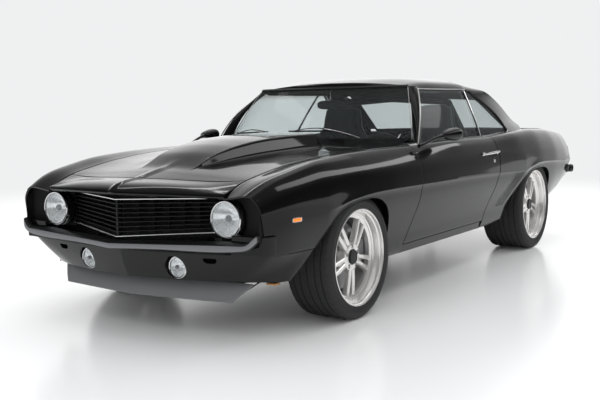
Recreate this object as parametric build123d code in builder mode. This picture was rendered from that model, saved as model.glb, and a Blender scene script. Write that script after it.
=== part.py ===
from build123d import *
import math
import os

os.makedirs("parts", exist_ok=True)

# Two-door hardtop coupe, millimetres. +Z up, the front faces -Y, the driver's side is +X.
# Origin: on the floor under the middle of the car, half way between its two ends.
# A station "s" is a distance behind the front axle; Y(s) places it along the car.

LENGTH = 4724.0
FRONT_OVERHANG = 949.0
WHEELBASE = 2743.0
Y_FRONT_AXLE = FRONT_OVERHANG - LENGTH / 2

GAP = 7.0            # shut line between panels
SKIN = 22.0          # outer panel with its inner stiffening
LIP = 9.0            # panel edge round a wheel opening
DOOR_INNER_X = 780.0
DOOR_BOTTOM_Z = 323.0
GLASS = 6.0
CABIN_X = 772.0

# Wheels by axle: station, tyre radius, tyre width, outer face of the tyre, rim radius.
AXLES = {
    "front": dict(s=0.0, r=328.0, w=270.0, x=884.0, rim=259.0, tub_r=396.0, tub_x=452.0),
    "rear": dict(s=WHEELBASE, r=345.0, w=318.0, x=892.0, rim=270.0, tub_r=378.0, tub_x=536.0),
}
KINGPIN_X = 690.0

DOOR_HINGE_X, DOOR_HINGE_S = 915.0, 557.0
HOOD_HINGE_S, HOOD_HINGE_Z = 700.0, 888.0
TRUNK_HINGE_S, TRUNK_HINGE_Z = 2962.0, 921.0


def Y(s):
    return s + Y_FRONT_AXLE


# Half sections of the lower body, x and z of: bottom edge b, low side l, crease c, upper side u,
# shoulder crown h, top seam t; m is the height on the centreline.
COLS = ("s", "xb", "zb", "xl", "zl", "xc", "zc", "xu", "zu", "xh", "zh", "xt", "zt", "zm")
BODY = [dict(zip(COLS, row)) for row in [
    (-790, 738, 312, 786, 400, 808, 590, 806, 650, 768, 706, 600, 700, 716),
    (-700, 772, 306, 820, 400, 846, 606, 838, 690, 790, 755, 604, 748, 780),
    (-620, 790, 300, 836, 400, 866, 622, 856, 712, 800, 782, 609, 776, 799),
    (-300, 812, 285, 854, 400, 902, 655, 884, 760, 806, 862, 622, 818, 848),
    (0, 824, 272, 862, 400, 918, 670, 892, 790, 800, 898, 645, 842, 874),
    (300, 828, 270, 862, 400, 924, 669, 896, 802, 806, 911, 665, 856, 886),
    (640, 828, 270, 862, 400, 924, 665, 897, 806, 826, 908, 690, 866, 892),
    (1250, 824, 270, 860, 400, 926, 660, 900, 806, 850, 897, 700, 886, 888),
    (1900, 820, 270, 858, 400, 930, 653, 908, 800, 852, 895, 720, 888, 890),
    (2300, 820, 276, 860, 400, 936, 648, 922, 790, 860, 912, 735, 908, 908),
    (2743, 826, 300, 872, 430, 940, 650, 926, 785, 850, 924, 680, 918, 920),
    (3150, 828, 345, 878, 450, 930, 652, 912, 780, 828, 914, 655, 910, 916),
    (3500, 800, 405, 856, 490, 902, 650, 880, 766, 790, 895, 645, 892, 900),
    (3690, 760, 440, 826, 505, 874, 648, 852, 755, 765, 880, 640, 878, 886),
]]


def half_section(r, side=0.0, top=0.0, low=0.0):
    """Half section of the body, drawn in by side, top and low millimetres."""
    inner = -5.0 if side else 0.0
    return [
        (inner, r["zb"] - low),
        (r["xb"] - side, r["zb"] - low),
        (r["xl"] - side, r["zl"]),
        (r["xc"] - side, r["zc"]),
        (r["xu"] - side, r["zu"] - top * 0.3),
        (r["xh"] - side * 0.5, r["zh"] - top),
        (r["xt"], r["zt"] - top),
        (inner, r["zm"] - top),
    ]


def poly_loft(planes_points):
    """Ruled loft through closed outlines, each (plane, points)."""
    with BuildPart() as made:
        for plane, points in planes_points:
            with BuildSketch(plane):
                with BuildLine():
                    Polyline(*points, close=True)
                make_face()
        loft(ruled=True)
    return made.part


def body_loft(side=0.0, top=0.0, low=0.0, rows=BODY):
    return poly_loft([(Plane.XZ.offset(-Y(r["s"])), half_section(r, side, top, low)) for r in rows])


def prism(plane, points, depth):
    with BuildPart() as made:
        with BuildSketch(plane):
            with BuildLine():
                Polyline(*points, close=True)
            make_face()
        extrude(amount=depth)
    return made.part


def side_prism(points, x0, x1):
    """Prism across the car; points are (s, z)."""
    return prism(Plane.YZ.offset(x0), [(Y(s), z) for s, z in points], x1 - x0)


def plan_prism(points, z0, z1):
    """Upright prism; points are (x, s)."""
    return prism(Plane.XY.offset(z0), [(x, Y(s)) for x, s in points], z1 - z0)


def end_prism(points, s0, s1):
    """Prism along the car; points are (x, z)."""
    return prism(Plane.XZ.offset(-Y(s0)), points, -(s1 - s0))


def plan_loft(layers):
    """Ruled loft upwards; each layer is (z, [(x, s), ...])."""
    return poly_loft([(Plane.XY.offset(z), [(x, Y(s)) for x, s in pts]) for z, pts in layers])


def cross_loft(layers):
    """Ruled loft across the car; each layer is (x, [(s, z), ...])."""
    return poly_loft([(Plane.YZ.offset(x), [(Y(s), z) for s, z in pts]) for x, pts in layers])


def end_loft(layers):
    """Ruled loft along the car; each layer is (s, [(x, z), ...])."""
    return poly_loft([(Plane.XZ.offset(-Y(s)), pts) for s, pts in layers])


def block(x0, x1, s0, s1, z0, z1):
    return side_prism([(s0, z0), (s1, z0), (s1, z1), (s0, z1)], x0, x1)


def drum(x0, x1, s, z, r):
    """Cylinder with its axis across the car."""
    with BuildPart() as made:
        with BuildSketch(Plane.YZ.offset(x0)):
            with Locations((Y(s), z)):
                Circle(r)
        extrude(amount=x1 - x0)
    return made.part


def rod(p, q, r):
    """Round bar between two points, each (x, s, z)."""
    a, b = Vector(p[0], Y(p[1]), p[2]), Vector(q[0], Y(q[1]), q[2])
    with BuildPart() as made:
        with BuildSketch(Plane(origin=a, z_dir=(b - a).normalized())):
            Circle(r)
        extrude(amount=(b - a).length)
    return made.part


def join(*shapes):
    with BuildPart() as made:
        for s in shapes:
            add(s)
    return made.part


def flip(shape):
    return mirror(shape, about=Plane.YZ, mode=Mode.PRIVATE)


def whole(left):
    """A piece drawn from the centreline out, made whole across it."""
    return join(left, flip(left))


def write(name, *shapes):
    """Write one node; several shapes stay separate solids."""
    solids = [s for shape in shapes for s in shape.solids() if s.volume > 20000]
    piece = solids[0] if len(solids) == 1 else Compound(children=solids)
    piece.label = name
    export_step(piece, f"parts/{name}.step")


def biggest(shape):
    return max(shape.solids(), key=lambda s: s.volume)


OUTER = body_loft()
INNER = body_loft(side=SKIN, top=SKIN, low=80.0)
INNER_LIP = body_loft(side=LIP, top=LIP, low=80.0)

# Shut lines in side view, (s, z) from the bottom up.
DOOR_FRONT = [(505, 200), (525, 270), (545, 323), (583, 376), (612, 447), (645, 526), (668, 603), (680, 680), (690, 870), (691, 960)]
DOOR_REAR = [(1745, 200), (1752, 270), (1762, 340), (1790, 405), (1822, 483), (1868, 600), (1885, 654), (1900, 760), (1904, 870), (1905, 960)]
# Hood seam in plan, (x, s).
HOOD_SIDE = [(604, -617), (618, -300), (641, 0), (661, 300), (676, 560)]
HOOD_MID_FRONT, HOOD_MID_REAR, HOOD_CORNER_REAR = -719.0, 545.0, 590.0
TRUNK_X, TRUNK_S0, TRUNK_S1 = 634.0, 2965.0, 3672.0


def moved(line, ds):
    return [(s + ds, z) for s, z in line]


def hood_plan(grow):
    rear = [(676 + grow, HOOD_CORNER_REAR + grow), (360, 558 + grow), (0, HOOD_MID_REAR + grow)]
    side = [(x + grow, s) for x, s in HOOD_SIDE]
    side[0] = (side[0][0], side[0][1] - grow * 1.1)
    return [(0, HOOD_MID_FRONT - grow)] + side + rear


HOOD_ZONE = plan_prism(hood_plan(GAP), 600, 1100)
HOOD_CUT = plan_prism(hood_plan(0), 600, 1100)
trunk_keep = block(-5, TRUNK_X + GAP, TRUNK_S0 - GAP, 3900, 700, 1100)


# Wheel openings in side view, (s, z).
ARCH = {
    "front": [(-592, 200), (-575, 240), (-545, 285), (-515, 318), (-475, 360), (-436, 402), (-385, 466), (-335, 518), (-270, 572), (-205, 604), (-130, 626), (-40, 638), (60, 641), (140, 635), (200, 617), (250, 584), (286, 540), (308, 490), (325, 420), (338, 328), (345, 200)],
    "rear": [(2095, 200), (2125, 300), (2165, 395), (2230, 465), (2300, 525), (2370, 575), (2440, 608), (2520, 628), (2620, 638), (2740, 642), (2860, 638), (2930, 622), (2985, 588), (3022, 545), (3050, 490), (3072, 440), (3085, 400), (3097, 345), (3105, 280), (3110, 200)],
}


def wheel_cut(axle):
    """The opening in the skin and the room behind it for the wheel, left side."""
    a = AXLES[axle]
    opening = side_prism(ARCH[axle], 600, 1000)
    room = drum(a["tub_x"], 1000, a["s"], a["r"], a["tub_r"]) & INNER_LIP
    return opening, room


front_opening, front_room = wheel_cut("front")
rear_opening, rear_room = wheel_cut("rear")

# ---------------- front fenders ----------------
fender_zone = side_prism([(-790, 432), (-790, 1000)] + list(reversed(moved(DOOR_FRONT, -GAP))) + [(40, 200), (-80, 432)], 606, 1000)
fender = (OUTER & fender_zone) - INNER - HOOD_ZONE - front_opening - front_room
fender = fender - plan_prism([(0, 597), (684, 597), (699, 690), (699, 1000), (0, 1000)], 500, 1100)
fender = fender - block(560, 774, -900, -640, 430, 696)
fender = biggest(fender)
write("front_fenders", fender, flip(fender))

# ---------------- doors ----------------
door_out = [(s, z) for s, z in moved(DOOR_FRONT, 0) if z >= DOOR_BOTTOM_Z]
rear_out = [(s, z) for s, z in DOOR_REAR if z > DOOR_BOTTOM_Z]


def door_outline(rear_shift):
    return door_out + [(s + rear_shift, z) for s, z in reversed(rear_out)] + [(rear_out[0][0] - 6 + rear_shift, DOOR_BOTTOM_Z)]


door_zone = cross_loft([(DOOR_INNER_X, door_outline(-30)), (870, door_outline(-14)), (960, door_outline(-6))])
door = biggest(OUTER & door_zone)
glass_slot_z = 872.0
# side glass: a leaning sheet; base and top lines in plan, and its outline in side view
GLASS_BASE_X, GLASS_TOP_X = 800.0, 614.0
GLASS_BASE_Z, GLASS_TOP_Z = 850.0, 1222.0


def glass_sheet(s0, s1, x_out=0.0):
    """Leaning sheet for the side glass between two stations."""
    b, t = GLASS_BASE_X + x_out, GLASS_TOP_X + x_out
    return end_prism([(b, GLASS_BASE_Z), (b + GLASS + 1, GLASS_BASE_Z), (t + GLASS + 1, GLASS_TOP_Z), (t, GLASS_TOP_Z)], s0, s1)


DOOR_GLASS = [(860, 850), (900, 893), (1196, 1222), (1948, 1222), (1862, 893), (1850, 850)]
door_glass = glass_sheet(700, 2000) & side_prism(DOOR_GLASS, 560, 860)
slot = glass_sheet(700, 1890) & side_prism([(850, 840), (905, 1000), (1900, 1000), (1856, 840)], 560, 900)
door = biggest(door - slot)
write("left_door", door)
write("right_door", flip(door))
write("left_door_glass", door_glass)
write("right_door_glass", flip(door_glass))
with BuildPart() as mirror_left:
    with BuildSketch(Plane.XZ.offset(-Y(978))):
        with Locations((946, 948)):
            Ellipse(50, 40)
    with BuildSketch(Plane.XZ.offset(-Y(1062))):
        with Locations((950, 952)):
            Ellipse(66, 52)
    loft()
stalk = rod((862, 1060, 893), (938, 1020, 932), 7)
mirror_piece = biggest(join(mirror_left.part, stalk) - OUTER)
write("left_mirror", mirror_piece)
write("right_mirror", flip(mirror_piece))

# ---------------- quarter panels ----------------
quarter_zone = side_prism(list(moved(DOOR_REAR, 0)) + [(2956, 960), (3690, 960), (3690, 300), (2500, 200)], 560, 1000)
cabin_side = plan_prism([(0, 1500), (CABIN_X, 1500), (CABIN_X, 2330), (530, 2350), (530, 2940), (0, 2940)], 200, 1100)
trunk_room = plan_prism([(0, 2925), (500, 2925), (500, 3120), (790, 3160), (790, 3500), (700, 3645), (0, 3645)], 200, 1100)
boot_walls = body_loft(side=SKIN, top=SKIN, low=120.0)
quarter = (OUTER & quarter_zone) - cabin_side - rear_opening - rear_room
quarter = quarter - (boot_walls & block(-5, 1000, 2340, 3900, 100, 1100)) - trunk_keep
quarter = quarter - block(-5, 650, 1700, 2958, 700, 1100) - end_prism([(560, 150), (1000, 150), (1000, 200), (560, 200)], 1700, 3700)
quarter = quarter - block(-5, 700, 2000, 3800, 100, 850)
quarter = biggest(quarter)
write("quarter_panels", quarter, flip(quarter))

# ---------------- hood ----------------
SCOOP = [  # station, half width of the base, half width of the top, top height
    (-500, 190, 182, 822), (-200, 246, 205, 912), (100, 280, 232, 948), (470, 306, 250, 962),
]
hood_skin = (OUTER & HOOD_CUT) - INNER
scoop_half = end_loft([(s, [(-5, 700), (wb, 700), (wb, top - 58 if s > -400 else top - 24), (wt, top), (-5, top + 4)]) for s, wb, wt, top in SCOOP])
scoop_inner = end_loft([(s + 14, [(-6, 690), (wb - 22, 690), (wb - 22, top - 80 if s > -400 else top - 48), (wt - 16, top - 22), (-6, top - 18)]) for s, wb, wt, top in SCOOP])
hood_half = (join(hood_skin, scoop_half & HOOD_CUT)) - INNER - scoop_inner
hood = biggest(whole(biggest(hood_half - block(-10, 900, -1000, 1000, 200, 690))))
write("hood", hood)

# ---------------- header panel, grille, bumper, valance, chin ----------------
header = whole(cross_loft([
    (0, [(-925, 716), (-922, 728), (-730, 783), (-730, 762), (-884, 706), (-890, 692)]),
    (300, [(-862, 712), (-860, 724), (-680, 781), (-680, 760), (-822, 704), (-828, 690)]),
    (601, [(-790, 700), (-788, 710), (-628, 771), (-628, 750), (-752, 702), (-758, 692)]),
]))
write("header_panel", header)
grille = whole(cross_loft([
    (0, [(-872, 500), (-872, 680), (-846, 680), (-846, 500)]),
    (470, [(-808, 500), (-808, 680), (-782, 680), (-782, 500)]),
    (770, [(-752, 520), (-752, 668), (-728, 668), (-728, 520)]),
]))
with BuildPart() as holes:
    with BuildSketch(Plane.XZ.offset(-Y(-900))):
        with Locations((588, 597), (-588, 597)):
            Circle(95)
    extrude(amount=-300)
grille = biggest(grille - holes.part)
write("grille", grille)
with BuildPart() as lamps:
    with BuildSketch(Plane.XZ.offset(-Y(-766))):
        with Locations((588, 597), (-588, 597)):
            Circle(88)
    extrude(amount=-110)
write("headlights", lamps.part)
bumper = whole(cross_loft([
    (0, [(-949, 446), (-946, 470), (-914, 480), (-884, 482), (-884, 446), (-925, 438)]),
    (357, [(-891, 455), (-888, 479), (-862, 489), (-834, 491), (-834, 454), (-868, 447)]),
    (713, [(-836, 464), (-833, 488), (-812, 498), (-786, 500), (-786, 462), (-815, 456)]),
    (764, [(-823, 476), (-821, 502), (-806, 513), (-784, 515), (-784, 478), (-805, 470)]),
    (804, [(-808, 504), (-807, 530), (-799, 540), (-784, 541), (-784, 506), (-797, 500)]),
]))
bumper = biggest(bumper - (OUTER & block(-5, 1000, -790, -500, 440, 700)) - flip(OUTER & block(-5, 1000, -790, -500, 440, 700)))
write("front_bumper", bumper)
valance_outer = [
    (0, [(-820, 288), (-868, 431), (-842, 431), (-794, 288)]),
    (305, [(-783, 288), (-829, 431), (-803, 431), (-757, 288)]),
    (560, [(-718, 290), (-786, 431), (-760, 431), (-692, 290)]),
    (680, [(-664, 292), (-766, 431), (-740, 431), (-638, 292)]),
    (752, [(-616, 292), (-751, 431), (-725, 431), (-590, 292)]),
]
valance = whole(cross_loft(valance_outer))
side_valance = ((OUTER & block(700, 1000, -752, -60, 150, 424)) - INNER - front_opening - front_room)
side_valance = biggest(side_valance)
valance = biggest(join(valance, side_valance, flip(side_valance)))
with BuildPart() as fog_holes:
    with BuildSketch(Plane.XZ.offset(-Y(-920))):
        with Locations((305, 352), (-305, 352)):
            Circle(58)
    extrude(amount=-300)
valance = biggest(valance - fog_holes.part)
write("front_valance", valance)
with BuildPart() as fogs:
    with BuildSketch(Plane.XZ.offset(-Y(-794))):
        with Locations((305, 352), (-305, 352)):
            Circle(55)
    extrude(amount=-66)
write("fog_lights", fogs.part)
chin = whole(cross_loft([
    (0, [(-783, 184), (-795, 190), (-724, 290), (-712, 285)]),
    (574, [(-701, 182), (-713, 188), (-650, 280), (-638, 275)]),
    (620, [(-668, 238), (-678, 243), (-646, 276), (-637, 270)]),
]))
write("chin_spoiler", chin)

# ---------------- cowl, dash wall, roof ----------------
COWL_REAR = [(716, 905), (640, 880), (400, 822), (0, 790)]
cowl_zone = plan_prism([(0, 545 + 2 * GAP + 2), (360, 558 + 2 * GAP + 2), (675, 597 + GAP + 4), (692, 697), (699, 900)] + COWL_REAR[1:], 600, 1100)
cowl = whole(biggest((OUTER & cowl_zone) - INNER))
write("cowl_panel", biggest(cowl))

ROOF = [  # station, z at x = 0, 200, 400, 500, drip rail x, z
    (1165, 1290, 1286, 1272, 1260, 578, 1236), (1400, 1318, 1315, 1303, 1287, 590, 1236), (1750, 1328, 1325, 1313, 1296, 594, 1237),
    (2060, 1322, 1318, 1306, 1290, 592, 1238), (2330, 1292, 1288, 1274, 1262, 582, 1232),
]


def roof_section(row, drop=0.0):
    s, z0, z2, z4, z5, xd, zd = row
    e = -5.0
    return (s, [(e, z0 - drop), (200, z2 - drop), (400, z4 - drop), (500, z5 - drop), (xd - drop * 0.2, zd - (0 if drop == 0 else 0)), (xd - 36, zd - 14), (470, z5 - 34), (400, z4 - 30), (200, z2 - 28), (e, z0 - 28)])


roof_half = end_loft([roof_section(r) for r in ROOF])
a_pillar = plan_loft([
    (1246, [(520, 1168), (584, 1176), (584, 1238), (540, 1232)]),
    (1120, [(592, 1056), (652, 1070), (652, 1108), (606, 1100)]),
    (893, [(716, 902), (772, 915), (772, 950), (728, 945)]),
])
sail = plan_loft([
    (1244, [(560, 2050), (590, 2050), (588, 2330), (540, 2330)]),
    (1190, [(590, 2120), (622, 2120), (618, 2490), (560, 2470)]),
    (1090, [(640, 2306), (676, 2306), (648, 2670), (590, 2640)]),
    (996, [(692, 2398), (734, 2398), (686, 2790), (625, 2760)]),
    (930, [(720, 2430), (775, 2430), (705, 2920), (640, 2900)]),
    (890, [(724, 2440), (780, 2440), (712, 2940), (655, 2930)]),
])
roof = whole(join(roof_half, a_pillar - body_loft(), sail - OUTER) & block(-5, 1000, 1100, 3100, 880, 1400))
write("roof", biggest(roof))

# ---------------- glass ----------------
WS_BASE = [(0, 800), (400, 832), (640, 890), (716, 950)]
WS_TOP = [(0, 1128), (300, 1132), (480, 1146), (520, 1158)]
base_in = [(x - (8 if x else 0), s + 10) for x, s in reversed(WS_BASE)]
top_in = [(x - (8 if x else 0), s + 10) for x, s in reversed(WS_TOP)]
windshield = whole(plan_loft([(900, WS_BASE + base_in), (1254, WS_TOP + top_in)]) - cross_loft([(-5, [(700, 880), (1000, 880), (1000, 900), (700, 900)]), (900, [(700, 880), (1000, 880), (1000, 900), (700, 900)])]))
write("windshield", biggest(windshield - OUTER - flip(OUTER) - roof))
RW_TOP_S, RW_TOP_Z, RW_TOP_X = 2345.0, 1246.0, 528.0
RW_BASE_S, RW_BASE_Z, RW_BASE_X = 2925.0, 926.0, 628.0
rear_window = side_prism([(RW_TOP_S, RW_TOP_Z), (RW_BASE_S, RW_BASE_Z), (RW_BASE_S - 12, RW_BASE_Z), (RW_TOP_S - 12, RW_TOP_Z)], -RW_BASE_X, RW_BASE_X)
rear_window = rear_window & end_prism([(-RW_BASE_X, RW_BASE_Z - 1), (RW_BASE_X, RW_BASE_Z - 1), (RW_TOP_X, RW_TOP_Z + 1), (-RW_TOP_X, RW_TOP_Z + 1)], 2300, 2950)
write("rear_window", biggest(rear_window))
QUARTER_GLASS = [(1874, 902), (1962, 1222), (2052, 1222), (2110, 1190), (2300, 1080), (2388, 990), (2415, 940), (2418, 915)]
quarter_glass = glass_sheet(1800, 2450) & side_prism(QUARTER_GLASS, 560, 860)
quarter_glass = biggest(quarter_glass - OUTER - roof)
write("quarter_windows", quarter_glass, flip(quarter_glass))

# ---------------- rear deck, trunk lid, tail ----------------
deck = whole(biggest((OUTER & plan_prism([(0, 2936), (560, 2922), (645, 2945), (645, TRUNK_S0 - GAP), (0, TRUNK_S0 - GAP)], 700, 1100)) - INNER))
write("deck_panel", biggest(deck))
lid_skin = (OUTER & block(-5, TRUNK_X, TRUNK_S0, TRUNK_S1, 700, 1100)) - INNER
lid_rear = end_prism([(-5, 790), (612, 790), (612, 884), (-5, 893)], TRUNK_S1 - 26, TRUNK_S1)
spoiler = cross_loft([
    (0, [(3520, 890), (3560, 900), (3700, 923), (3716, 919), (3706, 902), (3672, 870)]),
    (560, [(3515, 885), (3555, 896), (3692, 919), (3708, 915), (3698, 898), (3668, 866)]),
    (628, [(3510, 884), (3550, 893), (3682, 912), (3698, 908), (3690, 892), (3666, 864)]),
])
lid = biggest(whole(biggest(join(lid_skin, lid_rear, spoiler))))
write("trunk_lid", lid)
TAIL_S = 3690.0
tail_plate = end_prism([(-5, 330), (640, 330), (756, 445), (824, 508), (868, 648), (848, 753), (764, 872), (648, 872), (648, 780), (-5, 780)], TAIL_S, TAIL_S + 26)
tail = whole(tail_plate)
with BuildPart() as lamp_holes:
    with BuildSketch(Plane.XZ.offset(-Y(3600))):
        with Locations((560, 668), (-560, 668)):
            Rectangle(384, 104)
    extrude(amount=-200)
    with BuildSketch(Plane.XZ.offset(-Y(3600))):
        with Locations((89, 420), (-89, 420)):
            Circle(4)
    extrude(amount=-200)
write("rear_panel", biggest(tail - lamp_holes.part))
with BuildPart() as tails:
    with BuildSketch(Plane.XZ.offset(-Y(3680))):
        with Locations((560, 668), (-560, 668)):
            Rectangle(380, 100)
    extrude(amount=-44)
write("tail_lights", tails.part)
rear_bumper = whole(cross_loft([
    (0, [(3717, 520), (3717, 600), (3760, 596), (3775, 570), (3768, 526)]),
    (700, [(3717, 524), (3717, 600), (3755, 596), (3768, 570), (3762, 530)]),
    (850, [(3717, 540), (3717, 594), (3728, 590), (3734, 568), (3730, 546)]),
]))
write("rear_bumper", biggest(rear_bumper))

# ---------------- floor, sills, inner panels ----------------
FLOOR_Z0, FLOOR_Z1 = 262.0, 276.0
floor_half = join(
    plan_prism([(0, 470), (CABIN_X, 470), (CABIN_X, 2320), (525, 2340), (525, 3110), (0, 3110)], FLOOR_Z0, FLOOR_Z1) - block(-5, 130, 400, 2340, 200, 400),
    block(105, 130, 470, 2340, FLOOR_Z0, 420), block(-5, 130, 470, 2340, 405, 425),
    block(-5, 525, 2300, 2320, FLOOR_Z0, 620), block(-5, 525, 2300, 3110, 600, 615), block(511, 525, 2300, 3110, FLOOR_Z0 + 200, 615),
    block(-5, 525, 3095, 3110, 440, 615), plan_prism([(0, 3095), (780, 3180), (780, 3480), (690, 3640), (0, 3640)], 440, 454),
    block(-5, 760, 566, 582, FLOOR_Z0, 820) - block(-5, 105, 560, 590, 250, 405),
)
floor_half = floor_half - block(-5, 105, 400, 2600, 250, 405) - block(-5, 525, 2321, 3094, 200, 600)
floor = biggest(whole(floor_half))
write("floor_pan", floor)
sill_zone = side_prism([(430, 200), (430, 316), (2370, 316), (2370, 200)], CABIN_X + 4, 1000)
sill = (OUTER & sill_zone) - front_room - front_opening - rear_room - rear_opening - side_prism([(300, 200), (300, 330)] + list(reversed([(s, z) for s, z in moved(DOOR_FRONT, -1) if z <= 323])), 700, 1000) - quarter
sill = biggest(sill)
write("sills", sill, flip(sill))
inner_fender = join(
    block(436, 448, -600, 540, 300, 790), side_prism([(-600, 768), (-600, 778), (540, 838), (540, 828)], 448, 604),
    block(448, 770, 410, 424, 290, 760), block(448, 760, -600, -588, 440, 700),
)
inner_fender = biggest(inner_fender - block(430, 455, -85, 85, 416, 474))
inner_fender = biggest(inner_fender & body_loft(side=SKIN + 3, top=SKIN + 3, low=60))
write("inner_fenders", inner_fender, flip(inner_fender))
wheelhouse = (drum(531, 880, WHEELBASE, 345, 396) - drum(537, 1000, WHEELBASE, 345, 384)) & body_loft(side=SKIN + 4, top=SKIN + 4, low=0)
wheelhouse = wheelhouse & block(500, 1000, 2200, 3200, 345, 800)
wheelhouse = biggest(wheelhouse - quarter - floor)
write("wheelhouses", wheelhouse, flip(wheelhouse))

# ---------------- running gear ----------------
subframe = join(
    block(300, 370, -640, 700, 200, 260), block(-5, 370, -120, -30, 190, 250), block(-5, 370, -640, -580, 200, 260),
    block(370, 434, -60, 60, 200, 240), rod((370, -70, 225), (622, -8, 205), 14), rod((370, 70, 225), (622, 8, 205), 14),
    rod((370, -60, 440), (600, -6, 450), 11), rod((370, 60, 440), (600, 6, 450), 11), block(340, 372, -80, 80, 200, 560),
)
write("front_subframe", biggest(whole(subframe)))
engine = join(block(-250, 250, -330, 420, 300, 760), block(-95, 95, 421, 940, 290, 400))
write("engine", biggest(engine))
radiator = block(-340, 340, -600, -545, 330, 740)
write("radiator", radiator)
with BuildPart() as axle:
    with BuildSketch(Plane.YZ.offset(-520)):
        with Locations((Y(WHEELBASE), 345)):
            Circle(38)
    extrude(amount=1040)
rear_axle = join(axle.part, drum(-120, 120, WHEELBASE, 345, 112), rod((0, WHEELBASE - 100, 345), (0, 1000, 352), 36), block(430, 490, 2320, 3090, 282, 306), block(-490, -430, 2320, 3090, 282, 306), block(440, 480, 2680, 2800, 300, 345), block(-480, -440, 2680, 2800, 300, 345))
write("rear_axle", biggest(rear_axle))
exhaust = join(rod((200, 450, 225), (200, 1500, 225), 30), block(140, 300, 1500, 2000, 185, 255), rod((220, 2000, 225), (220, 2560, 225), 30))
write("exhaust", exhaust, flip(exhaust))
write("fuel_tank", block(-380, 380, 3125, 3560, 300, 436))

# ---------------- cabin ----------------
dashboard = cross_loft([
    (-730, [(760, 640), (880, 848), (1010, 846), (1060, 780), (1050, 620), (900, 600)]),
    (730, [(760, 640), (880, 848), (1010, 846), (1060, 780), (1050, 620), (900, 600)]),
])
dashboard = dashboard - block(-800, 800, 500, 800, 400, 900)
write("dashboard", biggest(dashboard))
WHEEL_C = (370.0, 1240.0, 790.0)
tilt = Plane(origin=(WHEEL_C[0], Y(WHEEL_C[1]), WHEEL_C[2]), x_dir=(1, 0, 0), z_dir=(0, math.cos(math.radians(24)), math.sin(math.radians(24))))
with BuildPart() as rim_ring:
    with BuildSketch(tilt):
        Circle(180)
        Circle(152, mode=Mode.SUBTRACT)
    extrude(amount=13, both=True)
    with BuildSketch(tilt):
        Rectangle(330, 30)
        Circle(48)
    extrude(amount=6, both=True)
column = rod((370, 1240, 790), (370, 1075, 716), 26)
write("steering_wheel", biggest(join(rim_ring.part, column) - dashboard))


def seat(x):
    base = block(x - 250, x + 250, 1290, 1790, 300, 440)
    back = cross_loft([(x - 255, [(1720, 441), (1880, 441), (2010, 1010), (1920, 1010)]), (x + 255, [(1720, 441), (1880, 441), (2010, 1010), (1920, 1010)])])
    return join(base, back, block(x - 255, x + 255, 1720, 1800, 420, 460))


write("front_seats", seat(388), seat(-388))
rear_seat = join(block(-520, 520, 2060, 2290, 430, 520), cross_loft([(-520, [(2200, 440), (2298, 440), (2298, 800), (2260, 800)]), (520, [(2200, 440), (2298, 440), (2298, 800), (2260, 800)])]))
write("rear_seat", biggest(rear_seat))
shelf = block(-520, 520, 2330, 2900, 790, 806)
write("rear_shelf", shelf)
hoop_x, hoop_top = 560.0, 1180.0
cage = join(
    rod((600, 2035, 276), (600, 2035, 900), 22), rod((600, 2035, 900), (470, 2035, 1150), 22), rod((470, 2035, 1150), (0, 2035, 1180), 22),
    rod((470, 2035, 1150), (430, 2420, 806 + 2), 22), rod((600, 2035, 850), (0, 2035, 850), 22),
)
cage = whole(cage) - rear_seat - floor - shelf
write("roll_cage", biggest(cage))
wipers = join(rod((150, 720, 918), (560, 830, 938), 6), block(130, 170, 700, 740, 900, 922))
write("wipers", biggest(wipers - OUTER), biggest(join(rod((-560, 800, 930), (-170, 715, 918), 6), block(-190, -150, 700, 740, 900, 922)) - flip(OUTER)))

# ---------------- wheels, brakes, knuckles ----------------


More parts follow.
